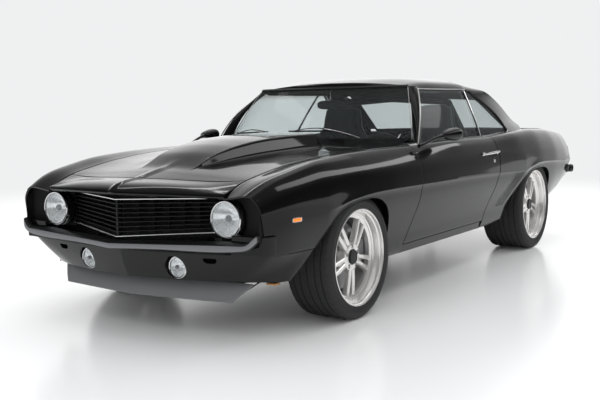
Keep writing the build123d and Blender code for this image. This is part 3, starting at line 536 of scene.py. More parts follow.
ARCH_F = rounded_line(ARCH_FRONT)
ARCH_R = rounded_line(ARCH_REAR)
LINE_F = rounded_line(DOOR_FRONT, 80)
LINE_R = rounded_line(DOOR_REAR, 80)
door_front_s = lambda z: np.interp(z, LINE_F[:, 1], LINE_F[:, 0])
door_rear_s = lambda z: np.interp(z, LINE_R[:, 1], LINE_R[:, 0])


def skin_xz(s, t):
    """Outer surface: x and z (mm) at station s and section parameter t (0 sill edge, 1 crease, 2 side, 3 crown, 4 seam, 5 centre)."""
    s, t = np.broadcast_arrays(np.asarray(s, float), np.asarray(t, float))
    c = {k: np.interp(s, GS, v) for k, v in TABLE.items()}
    pts = [np.stack([c["xb"], c["zb"]], -1), np.stack([c["xl"], c["zl"]], -1), np.stack([c["xc"], c["zc"]], -1), np.stack([c["xu"], c["zu"]], -1),
           np.stack([c["xh"], c["zh"]], -1), np.stack([c["xt"], c["zt"]], -1), np.stack([0 * s, c["zm"]], -1)]
    d = [b - a for a, b in zip(pts[:-1], pts[1:])]
    L = [np.linalg.norm(v, axis=-1, keepdims=True) for v in d]
    T = [d[0] / L[0] * 0.6 + np.array([0.4, 0.0])]
    for k in range(1, 6):
        T.append((d[k - 1] / L[k - 1] * L[k] + d[k] / L[k] * L[k - 1]) / (L[k - 1] + L[k]))
    T.append(np.stack([-np.ones_like(s), 0 * s], -1))
    k = np.interp(s, CRISP[:, 0], CRISP[:, 1])[..., None]
    crown = np.interp(s, CROWN[:, 0], CROWN[:, 1])[..., None]
    low, upper = T[2] * (1 - k) + np.array([0.16, 0.97]) * k, T[2] * (1 - k) + np.array([-0.14, 0.98]) * k
    starts, ends = [T[0], T[1], upper, T[3], T[4] * crown, T[5]], [T[1], low, T[3], T[4] * crown, T[5], T[6]]
    seg = np.where(t < 0.5, 0, np.where(t < 1, 1, np.clip(t.astype(int) + 1, 2, 5)))
    u = np.where(t < 1, (t * 2) % 1.0, t - np.floor(t))
    u = np.where(t >= 5, 1.0, u)[..., None]
    h00, h10, h01, h11 = 2 * u ** 3 - 3 * u ** 2 + 1, u ** 3 - 2 * u ** 2 + u, -2 * u ** 3 + 3 * u ** 2, u ** 3 - u ** 2
    out = np.zeros(s.shape + (2,))
    for i in range(6):
        v = h00 * pts[i] + h10 * L[i] * starts[i] + h01 * pts[i + 1] + h11 * L[i] * ends[i]
        out = np.where((seg == i)[..., None], v, out)
    depth = np.maximum(c["zc"] - out[..., 1], 0) / 24.0
    out[..., 0] -= np.where(t < 1, k[..., 0] * 8.5 * depth * np.exp(1 - depth), 0)
    return out[..., 0], out[..., 1]


def skin(s, t):
    x, z = skin_xz(s, t)
    return P(x, np.broadcast_to(s, x.shape), z)


def t_at_z(s, z, lo=0.0, hi=1.0, n=60):
    """Section parameter where the surface is at height z."""
    tt = np.linspace(lo, hi, n)
    s = np.atleast_1d(np.asarray(s, float))
    _, zz = skin_xz(s[:, None], tt[None, :])
    z = np.broadcast_to(z, s.shape)
    return np.array([np.interp(zi, row, tt) for zi, row in zip(z, zz)])


def x_at(s, z, lo=0.0, hi=2.9):
    t = t_at_z(s, z, lo, hi, 160)
    return skin_xz(np.atleast_1d(s), t)[0]


LOW_Q = 1 - np.array([1, 0.93, 0.86, 0.79, 0.72, 0.65, 0.58, 0.51, 0.44, 0.38, 0.32, 0.27, 0.225, 0.19, 0.16, 0.132, 0.108, 0.086, 0.066, 0.048, 0.031, 0.015, 0.0])


def shell_panel(name, s0, s1, t_bot, t_top, n, m_up=38, material=None, thick=0.011, extra_q=None):
    """Side panel between two shut lines s0(z), s1(z), from t_bot(s) up to t_top(s)."""
    a = np.linspace(0, 1, n)
    a = np.concatenate([[0, 0.0016], a[1:-1], [0.9984, 1]])
    up_q = np.linspace(0, 1, m_up)
    s = np.repeat((s0(600) + (s1(600) - s0(600)) * a)[:, None], len(LOW_Q) + len(up_q) - 1, axis=1)
    for _ in range(6):
        tb, tt = t_bot(s[:, 0]), t_top(s[:, -1])
        low = tb[:, None] + (1 - tb[:, None]) * LOW_Q[None, :]
        high = 1 + (tt[:, None] - 1) * up_q[None, 1:]
        t = np.concatenate([low, high], axis=1)
        _, z = skin_xz(s, t)
        s = s0(z) + (s1(z) - s0(z)) * a[:, None]
    return skin(s, t), s, t


def solid_panel(name, pts, material, thick=0.011, edge=0.0026, out=(1, 0, 0), smooth=42, segments=2):
    return sheet(name, pts, material, thick=thick, edge=edge, smooth=smooth, out=out)


def prism_cutter(outline, x0, x1):
    return prism_object("cutter", [tuple(p) for p in outline], x0, x1, "side")


def arch_lip(name, line, lo_z, material, radius=4.2, inset=2.0):
    """Rolled edge along a wheel opening."""
    keep = line[line[:, 1] >= lo_z - 1]
    x = x_at(keep[:, 0], keep[:, 1])
    pts = P(x - inset, keep[:, 0], keep[:, 1])
    return tube(name, pts, radius / 1000, material, 10)


# ------------------------------------------------------------------ front fenders
fender_front = lambda z: -756 - 0.13 * (np.clip(z, 432, 760) - 432)
pts, fs, ft = shell_panel("fender", fender_front, lambda z: door_front_s(z) - GAP,
                          lambda s: np.where(s < 45, t_at_z(s, 434), 0.0), lambda s: 0 * s + 3.985, 116, 46)
fender = solid_panel("front_fender_left", pts, PAINT)
boolean(fender, prism_cutter(ARCH_F, 560, 1000))
# behind the hood corner the fender gives way to the cowl and windscreen
boolean(fender, prism_object("cutter", [(0, 600), (684, 600), (697, 650), (704, 720), (704, 1000), (0, 1000)], 700, 1100, "plan"))
# the front lower corner belongs to the filler block behind the bumper's end
boolean(fender, prism_object("cutter", [(-900, 380), (-900, 534), (-716, 534), (-706, 524), (-706, 380)], 600, 1000, "side"))
lip = arch_lip("lip", ARCH_F, 434, PAINT)
fender = join("front_fender_left", [fender, lip])
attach(fender, "body")
fender_r = mirrored(fender, "front_fender_right")
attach(fender_r, "body")
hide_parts("front_fenders")

# ------------------------------------------------------------------ doors
door_a = lambda z: door_front_s(z)
door_b = lambda z: door_rear_s(z) - GAP
pts, _, _ = shell_panel("door", door_a, door_b, lambda s: t_at_z(s, 323.0 + 0 * s), lambda s: 0 * s + 3.42, 96, 34)
door = solid_panel("door_skin_left", pts, PAINT, thick=0.014)
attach(door, "left_door")
door_r = mirrored(door, "door_skin_right"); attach(door_r, "right_door")

# ------------------------------------------------------------------ quarter panels
q_top = lambda s: np.interp(s, [2300, 2395, 2450, 2960], [3.42, 3.42, 4.0, 3.985])
pts, _, _ = shell_panel("quarter", lambda z: door_rear_s(z), lambda z: 3690 + 0 * np.asarray(z, float), lambda s: 0 * s, q_top, 148, 44)
quarter = solid_panel("quarter_left", pts, PAINT)
boolean(quarter, prism_cutter(ARCH_R, 560, 1000))
lip = arch_lip("lip", ARCH_R, 300, PAINT)
quarter = join("quarter_left", [quarter, lip])
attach(quarter, "body")
quarter_r = mirrored(quarter, "quarter_right"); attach(quarter_r, "body")
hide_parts("quarter_panels")

# ------------------------------------------------------------------ hood
SCOOP_S = np.array([-640, -560, -500, -350, -200, 100, 470, 600], float)
SCOOP_WB = np.interp(SCOOP_S, [-500, -200, 100, 470], [190, 246, 280, 306])
SCOOP_WT = np.interp(SCOOP_S, [-500, -200, 100, 470], [182, 205, 232, 250])
wb_f, wt_f = spline(SCOOP_S, SCOOP_WB), spline(SCOOP_S, SCOOP_WT)
TOPZ = np.array([(-640, 0), (-510, 0), (-440, 16), (-350, 40), (-200, 60), (-50, 70), (100, 75), (300, 77), (470, 77), (600, 77)], float)
LS, LV = blurred(TOPZ[:, 0], TOPZ[:, 1], -800, 700, 5, 24)
lift_f = lambda s: np.interp(s, LS, LV)


def base_z(x, s):
    """Height of the plain body top at x (inboard of the seam)."""
    x, s = np.broadcast_arrays(np.abs(np.asarray(x, float)), np.asarray(s, float))
    tt = np.linspace(3.6, 5, 50)
    flat_s = s.ravel(); flat_x = x.ravel(); n = len(flat_s)
    xs, zs = skin_xz(np.repeat(flat_s, 50), np.tile(tt, n))
    xs = xs.reshape(n, 50)[:, ::-1]; zs = zs.reshape(n, 50)[:, ::-1]
    out = np.array([np.interp(flat_x[q], xs[q], zs[q]) for q in range(n)])
    return out.reshape(s.shape)


raw_z = base_z


def base_z(x, s):
    """The same height, kept from rolling over until ahead of the hood's front edge."""
    x, s = np.broadcast_arrays(np.abs(np.asarray(x, float)), np.asarray(s, float))
    z = raw_z(x, s)
    front = s < -540
    if not front.any():
        return z
    z0 = raw_z(x, np.full(s.shape, -540.0)); z1 = raw_z(x, np.full(s.shape, -600.0))
    d = -540 - s
    flat = z0 + (z1 - z0) / 60 * d - 0.00011 * d ** 2
    keep = np.clip((x - 470) / 120, 0, 1) ** 1.5
    b = np.maximum(keep, 1 - np.clip(d / 60, 0, 1))
    return np.where(front, z * b + np.maximum(flat, z) * (1 - b), z)





def v_panel(x, s):
    """Sharp centre crease that runs back from the tip of the nose and fades into the scoop."""
    h = np.interp(s, [-925, -700, -560, -420], [6.0, 8.0, 7.5, 0])
    w = np.interp(s, [-925, -700, -420], [26, 40, 60])
    k = np.clip(1 - np.abs(x) / w, 0, 1)
    return h * k ** 1.35


def hood_height(x, s):
    """Hood surface with its raised cowl-induction panel."""
    ax = np.abs(x)
    z = base_z(x, s)
    wb, wt, h = wb_f(s), wt_f(s), np.maximum(lift_f(s), 0)
    k = np.clip((wb - ax) / (wb - wt), 0, 1)
    r_ = 0.13
    k = np.where(k < r_, k * k / (2 * r_), np.where(k > 1 - r_, (1 - r_) - (1 - k) ** 2 / (2 * r_), k - r_ / 2)) / (1 - r_)
    crown = 5 * np.clip(1 - (ax / wt) ** 2, 0, 1) * np.clip(h / 60, 0, 1)
    z = z + h * k + crown
    # a soft valley beside the raised panel
    side = np.clip((ax - wb) / 120, 0, 1)
    z -= 3.5 * np.sin(math.pi * side) * np.clip(h / 60, 0, 1)
    # centre ridge running back from the nose
    z += v_panel(x, s)
    return z


HOOD_SIDE = np.array([(604, -617), (618, -300), (641, 0), (661, 300), (676, 560), (677, 600)], float)
u_top = np.linspace(0, 1, 33)
u_wall = np.linspace(0, 1, 9)[1:]
u_out = np.linspace(0, 1, 26)[1:]
rows = []
for a in np.concatenate([[0, 0.0018], np.linspace(0, 1, 112)[1:-1], [0.9982, 1]]):
    cols = []
    # station depends on x because the front edge is a V and the rear edge steps back at the corners
    s_guess = np.full(66, -650 + 1220 * a)
    for _ in range(4):
        wbs, wts = wb_f(s_guess), wt_f(s_guess)
        seam = np.interp(s_guess, HOOD_SIDE[:, 1], HOOD_SIDE[:, 0])
        x = np.concatenate([u_top * wts[:33], wts[33:41] + (wbs - wts)[33:41] * u_wall, wbs[41:] + (seam - wbs)[41:] * u_out])
        s_front = -719 + 102 * (x / 604) ** 1.35
        s_rear = 545 + 13 * np.clip(x / 360, 0, 1) ** 1.5 + 32 * np.clip((x - 360) / 316, 0, 1) ** 1.6
        s_guess = s_front + (s_rear - s_front) * a
    z = hood_height(x, s_guess)
    half = P(x, s_guess, z)
    left = half[1:][::-1].copy(); left[:, 0] *= -1
    rows.append(np.concatenate([left, half]))
hood = solid_panel("hood_panel", np.array(rows), PAINT, thick=0.012, out=(0, 0, 1))
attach(hood, "hood")
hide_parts("hood")

# ------------------------------------------------------------------ header panel
HEAD_X = np.array([0, 300, 604], float)
rows = []
XN = np.concatenate([np.linspace(0, 96, 25), np.linspace(96, 602, 46)[1:]])
lip_s = lambda x: np.interp(x, [0, 300, 601], [-925, -864, -790])
lip_s2 = spline([0, 150, 300, 450, 601], [-925, -897, -863, -828, -788])
hood_s = lambda x: -719 + 102 * (x / 604) ** 1.35 - 4.5
lip_z = lambda x: 716 - 10 * (x / 601) ** 1.5
for x in XN:
    sr, sf, zl_ = hood_s(x), lip_s2(x), lip_z(x)
    zr = base_z(np.array([x]), np.array([sr]))[0]
    t = np.linspace(0, 1, 22)
    # from the hood edge, nearly flat, then rolling down to a crisp lip and back under
    A, B = np.array([sr, zr]), np.array([sf + 6, zl_ + 12])
    TA, TB = np.array([-150, -30.0]), np.array([-120, -130.0])
    h = lambda u: (2 * u ** 3 - 3 * u ** 2 + 1)[:, None] * A + (u ** 3 - 2 * u ** 2 + u)[:, None] * TA + (-2 * u ** 3 + 3 * u ** 2)[:, None] * B + (u ** 3 - u ** 2)[:, None] * TB
    path = h(t)
    tail = np.array([[sf + 2.5, zl_ + 7], [sf, zl_ + 1], [sf + 1, zl_ - 5], [sf + 5, zl_ - 9], [sf + 14, zl_ - 12], [sf + 30, zl_ - 13]])
    path = np.concatenate([path, tail])
    path[:, 1] += v_panel(np.full(len(path), x), path[:, 0]) * np.concatenate([np.ones(len(path) - 3), [0.5, 0, 0]])
    # the ends run into the top of the fender
    wf = min(1.0, x / 600.0) ** 5
    n_top = len(path) - 6
    seam_z = skin_xz(np.clip(path[:n_top, 0], -795, 0), np.full(n_top, 4.0))[1]
    fade = wf * (1 - np.linspace(0, 1, n_top) ** 4)
    path[:n_top, 1] = path[:n_top, 1] * (1 - fade) + seam_z * fade
    rows.append(P(np.full(len(path), x), path[:, 0], path[:, 1]))
half = np.array(rows)
left = half[1:][::-1].copy(); left[..., 0] *= -1
header = solid_panel("header_panel_skin", np.concatenate([left, half]), PAINT, thick=0.009, edge=0.002, out=(0, -0.3, 1))
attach(header, "body"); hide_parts("header_panel")

# ------------------------------------------------------------------ nose


def sym_sweep(name, stations, material, n=60, bevel=0.0, end_scale=None, smooth=40, kink=True):
    """Closed bar across the car: stations [(x, [(s, z), ...])] from the centre out, mirrored."""
    xs = np.array([st[0] for st in stations], float)
    sec = np.array([st[1] for st in stations], float)
    xn = np.unique(np.concatenate([np.linspace(0, xs[-1], n), xs]))
    m = sec.shape[1]
    half = np.empty((len(xn), m, 3))
    for j in range(m):
        fs_, fz_ = spline(xs, sec[:, j, 0]), spline(xs, sec[:, j, 1])
        half[:, j] = P(xn, fs_(xn), fz_(xn))
    left = half[1:][::-1].copy(); left[..., 0] *= -1
    return loft_object(name, np.concatenate([left, half]), material, True, True, smooth, bevel)


def line_sweep(name, pts, w, h, material, bevel=0.8, up=(0, 0, 1)):
    """Small rectangular moulding (w across, h along 'up', mm) following points in metres."""
    pts = np.asarray(pts, float)
    tang = np.gradient(pts, axis=0); tang /= np.linalg.norm(tang, axis=1)[:, None]
    u = np.asarray(up, float)
    rings = []
    for p_, t_ in zip(pts, tang):
        side = np.cross(t_, u); side /= np.linalg.norm(side)
        vv = np.cross(side, t_)
        a, b = side * w / 2000, vv * h / 2000
        rings.append([p_ - a - b, p_ + a - b, p_ + a + b, p_ - a + b])
    return loft_object(name, rings, material, True, True, 35, bevel)


bumper = sym_sweep("front_bumper_blade", [
    (0, [(-948, 446), (-945, 470), (-914, 480), (-884, 482), (-884, 446), (-925, 438)]),
    (357, [(-891, 455), (-888, 479), (-862, 489), (-834, 491), (-834, 454), (-868, 447)]),
    (713, [(-836, 464), (-833, 488), (-812, 498), (-786, 500), (-786, 462), (-815, 456)]),
    (764, [(-823, 476), (-821, 502), (-806, 513), (-784, 515), (-784, 478), (-805, 470)]),
    (796, [(-812, 502), (-811, 530), (-801, 540), (-782, 541), (-782, 506), (-797, 498)]),
    (804, [(-806, 512), (-805, 532), (-799, 538), (-786, 539), (-786, 514), (-797, 508)]),
], GREY, 70, 1.6, smooth=24)
# painted shade: faces turned up, down or to the side take the black plastic while the front faces keep the grey, so lit
# and shaded faces of one bumper are drawn in two colours
bumper.data.materials.append(BLACK)
for f_ in bumper.data.polygons:
    if f_.normal.z > 0.55 or f_.normal.z < -0.55 or abs(f_.normal.x) > 0.72:
        f_.material_index = 1
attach(bumper, "body"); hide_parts("front_bumper")

# grille: bright trims, thin bars, blocks behind
gs = lambda x: np.interp(np.abs(x), [0, 500, 800], [-888, -706, -690])
gz_top = lambda x: np.interp(np.abs(x), [0, 470, 800], [683, 691, 694])
gz_bot = lambda x: np.interp(np.abs(x), [0, 470, 800], [498, 525, 530])
GX = 500.0
trims, bars = [], []
xg = np.concatenate([np.linspace(-GX, 0, 30), np.linspace(0, GX, 30)[1:]])
for k in range(9):
    q = k / 8
    z = gz_bot(xg) * (1 - q) + gz_top(xg) * q
    if k in (0, 8):
        trims.append(line_sweep("trim", P(xg, gs(xg) - 3, z), 14, 7, CHROME, 1.2))
    else:
        bars.append(line_sweep("bar", P(xg, gs(xg) + 14, z), 34, 3.6, BLACK, 0.7))
trim = join("grille_trim", trims)
for n_, x in enumerate(np.arange(-450, 451, 75)):
    s_, zt_, zb_ = float(gs(x)), float(gz_top(x)) - 6, float(gz_bot(x)) + 6
    bars.append(box_object("block", x - 21, x + 21, s_ + 34, s_ + 44, zb_, zt_, MATTE, 2))
bars.append(box_object("post", -5, 5, -884, -850, 500, 684, BLACK, 1))
back = sheet("back", np.stack([P(np.linspace(-790, 790, 60), gs(np.linspace(-790, 790, 60)) + 78, np.full(60, z)) for z in np.linspace(486, 704, 6)], axis=1), MATTE, thick=0.006, edge=0, out=(0, -1, 0))
bars.append(back)
bars_ob = join("grille_bars", bars)
for o in (trim, bars_ob):
    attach(o, "body")
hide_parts("grille")

# panel round each headlight, with a round hole
def lamp_panel(sign):
    xs = np.linspace(500, 796, 46)
    zs = np.linspace(500, 702, 30)
    pts = np.array([P(np.full(len(zs), x), np.full(len(zs), np.interp(x, [500, 560, 796], [-694, -704, -736])), zs) for x in xs])
    ob = sheet("panel", pts, MATTE, thick=0.006, edge=0, out=(0, -1, 0))
    hole = round_post("hole", 588, -820, -650, 597, 94)
    return boolean(ob, hole)


def round_post(name, x, s0, s1, z, r, n=96, material=None):
    a = np.linspace(0, 2 * math.pi, n, endpoint=False)
    ring = lambda s: P(x + r * np.cos(a), np.full(n, s), z + r * np.sin(a))
    verts = np.concatenate([ring(s0), ring(s1)])
    faces = [(i, (i + 1) % n, n + (i + 1) % n, n + i) for i in range(n)] + [tuple(range(n))[::-1], tuple(range(n, 2 * n))]
    return fix_normals(new_object(name, verts, faces, material, 30))


def turned(name, profile, x, s, z, material, n=96, smooth=40, tilt=0.0, wave=None, closed=False):
    """Surface of revolution about a line along the car: profile of (radius, depth behind s)."""
    a = np.linspace(0, 2 * math.pi, n, endpoint=False)
    prof = np.asarray(profile, float)
    rings = []
    for r, d in prof:
        rr = r if wave is None else r + wave(r, a)
        rings.append(P(x + rr * np.cos(a), np.full(n, s + d), z + rr * np.sin(a)))
    pts = np.array(rings)
    faces = grid_faces(len(prof), n, close_v=True, close_u=closed)
    ob = new_object(name, pts.reshape(-1, 3), faces, material, smooth)
    return fix_normals(ob)


def round_lamp(tag, x, s, z, r, node, depth=58.0, dome=14.0):
    parts = []
    # bright ring with a rolled front
    parts.append(turned("ring", [(r + 7, 26), (r + 7, 6), (r + 5, 1), (r + 1.5, -1.5), (r - 2.5, 0), (r - 4.5, 4), (r - 5, 12)], x, s, z, CHROME))
    bowl = [(r - 5, 10)] + [(q * (r - 7), 12 + depth * (1 - q ** 2)) for q in np.linspace(0.97, 0.01, 18)]
    fl = lambda rr, a: 0.35 * np.cos(a * 16) * (rr / r)
    parts.append(turned("bowl", bowl, x, s, z, LAMP, smooth=60, wave=fl))
    parts.append(turned("bulb", [(0.1, depth - 30), (5, depth - 29), (8, depth - 24), (9, depth - 14), (9, depth + 12)], x, s, z, LAMP))
    # shield in front of the bulb
    parts.append(turned("shield", [(0.1, depth - 44), (r * 0.14, depth - 42), (r * 0.19, depth - 36), (r * 0.20, depth - 28), (r * 0.17, depth - 27)], x, s, z + r * 0.04, CAST))
    lamp = join(f"{tag}", parts)
    lens_prof = [(q * (r - 4), 3 - dome * (1 - q ** 2)) for q in np.linspace(1, 0.02, 14)]
    lens = turned(f"{tag}_lens", lens_prof, x, s, z, LENS, smooth=60)
    lens_back = None
    return lamp, lens


lamps = []
for sign, side in ((1, "left"), (-1, "right")):
    panel = lamp_panel(1)
    if sign < 0:
        old = panel; panel = mirrored(old, "lamp_panel_right"); bpy.data.objects.remove(old)
    panel.name = f"lamp_panel_{side}"
    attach(panel, "body")
    lamp, lens = round_lamp(f"headlight_{side}", sign * 588, -764, 597, 86, "headlights")
    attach(lamp, "body"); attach(lens, "body"); lamps.append(lamp)
    fog, flens = round_lamp(f"fog_light_{side}", sign * 305, -792, 352, 52, "fog_lights", 34, 7)
    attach(fog, "body"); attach(flens, "body")
    if sign > 0:
        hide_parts("headlights"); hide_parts("fog_lights")
    # shell behind the fog light
    can = turned(f"fog_can_{side}", [(60, 4), (60, 20), (54, 50), (30, 64), (0.1, 66)], sign * 305, -792, 352, BLACK)
    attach(can, "body")
    can = turned(f"headlight_can_{side}", [(94, 22), (92, 60), (70, 96), (20, 108), (0.1, 108)], sign * 588, -764, 597, BLACK)
    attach(can, "body")

# ------------------------------------------------------------------ valance
top_plan = np.array([(0, -868), (150, -850), (305, -829), (507, -794), (657, -768), (745, -752), (792, -738), (824, -715)], float)
bot_plan = np.array([(0, -820), (150, -803), (305, -783), (507, -737), (600, -702), (657, -674), (715, -640), (760, -608)], float)


def finish_path(plan, z, s_end):
    """Extend a plan line along the body side to the wheel opening."""
    s_side = np.linspace(plan[-1, 1] + 30, s_end, 14)
    x_side = x_at(s_side, np.full(len(s_side), z), 0.0, 1.0)
    p = np.concatenate([plan, np.stack([x_side, s_side], 1)])
    d = np.concatenate([[0], np.cumsum(np.linalg.norm(np.diff(p, axis=0), axis=1))])
    t = np.linspace(0, d[-1], 400)
    q = np.stack([np.interp(t, d, p[:, 0]), np.interp(t, d, p[:, 1])], 1)
    k = np.exp(-0.5 * (np.arange(-24, 25) / 9.0) ** 2); k /= k.sum()
    ext = np.concatenate([np.stack([-q[1:25, 0][::-1], q[1:25, 1][::-1]], 1), q, q[-1] + (q[-1] - q[-2]) * np.arange(1, 25)[:, None]])
    # the nose keeps its point at the centre
    q2 = np.stack([np.convolve(ext[:, 0], k, "valid"), np.convolve(ext[:, 1], k, "valid")], 1)
    mix = np.clip(np.arange(400) / 20.0, 0, 1)[:, None]
    return q * (1 - mix) + q2 * mix


top_q, bot_q = finish_path(top_plan, 431, -417), finish_path(bot_plan, 300, -540)
rows = []
for v in np.linspace(0, 1, 22):
    q = bot_q * (1 - v) + top_q * v
    z = 288 + (431 - 288) * v
    d_ = np.gradient(q, axis=0); nrm = np.stack([-d_[:, 1], d_[:, 0]], 1); nrm /= np.linalg.norm(nrm, axis=1)[:, None]
    if nrm[0, 1] > 0:
        nrm = -nrm
    q = q + nrm * 5.0 * math.sin(math.pi * v)
    idx = np.unique(np.concatenate([np.linspace(0, 399, 130).astype(int)]))
    zz = z + np.interp(q[idx, 0], [0, 657, 820], [2, 2, 6]) * (1 - v) * 0
    rows.append(P(q[idx, 0], q[idx, 1], np.full(len(idx), z)))
half = np.array(rows)
left = half[:, 1:][:, ::-1].copy(); left[..., 0] *= -1
full = np.concatenate([left, half], axis=1)
valance = solid_panel("front_valance_skin", full, PAINT, thick=0.008, edge=0.002, out=(0, -1, 0))
for sx in (1, -1):
    boolean(valance, round_post("hole", sx * 305, -900, -700, 352, 59.5))
    o = [(sx * (507 + dx), 397 + dz) for dx, dz in ((-38, 2), (-34, 13), (30, 13), (37, 8), (30, -8), (18, -13), (-20, -13), (-33, -7))]
    boolean(valance, prism_object("slot", o, -860, -700, "end"))
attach(valance, "body"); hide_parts("front_valance")
inner = sheet("valance_inner", np.stack([P(np.linspace(-690, 690, 50), -745 + 0.07 * np.abs(np.linspace(-690, 690, 50)) + 60 * np.clip((np.abs(np.linspace(-690, 690, 50)) - 560) / 130, 0, 1), np.full(50, z)) for z in (296, 360, 430)], axis=1), MATTE, thick=0.004, edge=0, out=(0, -1, 0))
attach(inner, "body")
# flange closing the gap between valance top and bumper
rows = []
for dv, z in ((0, 431), (0.0, 434), (40, 446), (78, 470)):
    q = top_q[np.linspace(0, 330, 100).astype(int)]
    rows.append(P(q[:, 0] * (1 - dv / 2600), q[:, 1] + dv, np.full(len(q), z)))
half = np.array(rows); left = half[:, 1:][:, ::-1].copy(); left[..., 0] *= -1
shelf = sheet("valance_shelf", np.concatenate([left, half], axis=1), BLACK, thick=0.004, edge=0, out=(0, -0.3, 1))
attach(shelf, "body")
# filler blocks behind the bumper's ends
blk = []
zc_ = np.linspace(434, 531, 12)
plan = np.array([(640, -790), (700, -787), (750, -782), (786, -776), (806, -774), (822, -762), (832, -744), (838, -722), (840, -712)], float)
pl = smooth_path(plan, 40)
pts = np.array([P(pl[:, 0] + np.interp(z, [434, 531], [-3, 4]), pl[:, 1], np.full(len(pl), z)) for z in zc_])
block_l = solid_panel("bumper_filler_left", pts, PAINT, thick=0.010, edge=0.002, out=(1, -0.5, 0))
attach(block_l, "body")
block_r = mirrored(block_l, "bumper_filler_right"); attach(block_r, "body")
# inner wall of the nose beside the headlight
for sx, nm in ((1, "left"), (-1, "right")):
    w = []
    for s_ in np.linspace(-782, -700, 8):
        z_ = np.linspace(486, 700, 16)
        x_ = x_at(np.full(16, s_), z_, 0.3, 2.4) - 13
        w.append(P(sx * np.minimum(x_, 806), np.full(16, s_), z_))
    wall = sheet(f"nose_wall_{nm}", np.array(w), MATTE, thick=0.004, edge=0, out=(-sx, 0, 0))
    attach(wall, "body")

# ------------------------------------------------------------------ chin spoiler
rows = []
for v in np.linspace(0, 1, 12):
    xe = 574 + 80 * v
    xs = np.concatenate([np.linspace(0, 30, 4), np.linspace(30, xe, 40)[1:]])
    sb = -792 + 81 * (xs / 574) ** 1.12
    st = -720 + 76 * (xs / 626) ** 1.12
    s_ = sb * (1 - v) + st * v - 4 * math.sin(math.pi * v)
    zb_, zt_ = 191 - 3 * xs / 574, 286 - 10 * xs / 626
    z_ = zb_ * (1 - v) + zt_ * v
    half = P(xs, s_, z_)
    left = half[1:][::-1].copy(); left[:, 0] *= -1
    rows.append(np.concatenate([left, half]))
chin = solid_panel("chin_spoiler_plate", np.array(rows), CHIN, thick=0.009, edge=0.0022, out=(0, -1, 0.4))
lip_pts = np.array(rows)[0]
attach(chin, "body"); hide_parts("chin_spoiler")
stays = []
for sx in (1, -1):
    stays.append(tube("stay", P(np.array([sx * 560, sx * 700]), np.array([-668, -610]), np.array([205, 300])), 0.004, BLACK, 10))
stays = join("chin_stays", stays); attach(stays, "body")
# lamps low in the valance corners and the side markers
for sx, nm in ((1, "left"), (-1, "right")):
    a = box_object("lamp", sx * 702, sx * 756, -606, -560, 270, 280, AMBER, 3)
    a.name = f"corner_lamp_{nm}"
    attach(a, "body")
    s_ = np.linspace(-606, -546, 16); z_ = np.linspace(582, 600, 8)
    S_, Z_ = np.meshgrid(s_, z_, indexing="ij")
    X_ = x_at(S_.ravel(), Z_.ravel(), 0.0, 2.4).reshape(S_.shape)
    bulge = 4.5 * (1 - ((S_ + 576) / 30) ** 6) * (1 - ((Z_ - 591) / 9) ** 4)
    m = sheet(f"side_marker_{nm}", P(X_ + bulge, S_, Z_), ORANGE, thick=0.008, edge=0.0015, out=(1, 0, 0))
    ring_pts = P(X_[[0, -1]][:, [0, -1]].ravel() + 0.5, S_[[0, -1]][:, [0, -1]].ravel(), Z_[[0, -1]][:, [0, -1]].ravel())
    order = [0, 1, 3, 2]
    loop = []
    for a_, b_ in zip(order, order[1:] + order[:1]):
        for q in np.linspace(0, 1, 12, endpoint=False):
            loop.append(ring_pts[a_] * (1 - q) + ring_pts[b_] * q)
    fr = tube("frame", loop, 0.0022, CHROME, 8, False, True)
    m = join(f"side_marker_{nm}", [m, fr])
    if sx < 0:
        m.data.transform(Matrix.Scale(-1, 4, (1, 0, 0))); m.data.flip_normals()
    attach(m, "body")

# ------------------------------------------------------------------ wheels


def done(ob, body, nodes=()):
    """Rides a body and stands for CAD nodes."""
    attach(ob, body)
    if nodes:
        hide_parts(*nodes)
    return ob


def lathe(name, profile, material, n=144, closed=True, smooth=35, wave=None):
    """About the wheel's axis in metres: profile of (depth inboard of the outer face, radius) in mm, outward +x."""
    a = np.linspace(0, 2 * math.pi, n, endpoint=False)
    rings = []
    for d, r in profile:
        rr = r if wave is None else r + wave(d, r, a)
        rings.append(np.stack([np.full(n, -d), rr * np.cos(a), rr * np.sin(a)], 1) / 1000)
    pts = np.array(rings)
    ob = new_object(name, pts.reshape(-1, 3), grid_faces(len(profile), n, close_v=True, close_u=closed), material, smooth)
    return fix_normals(ob)


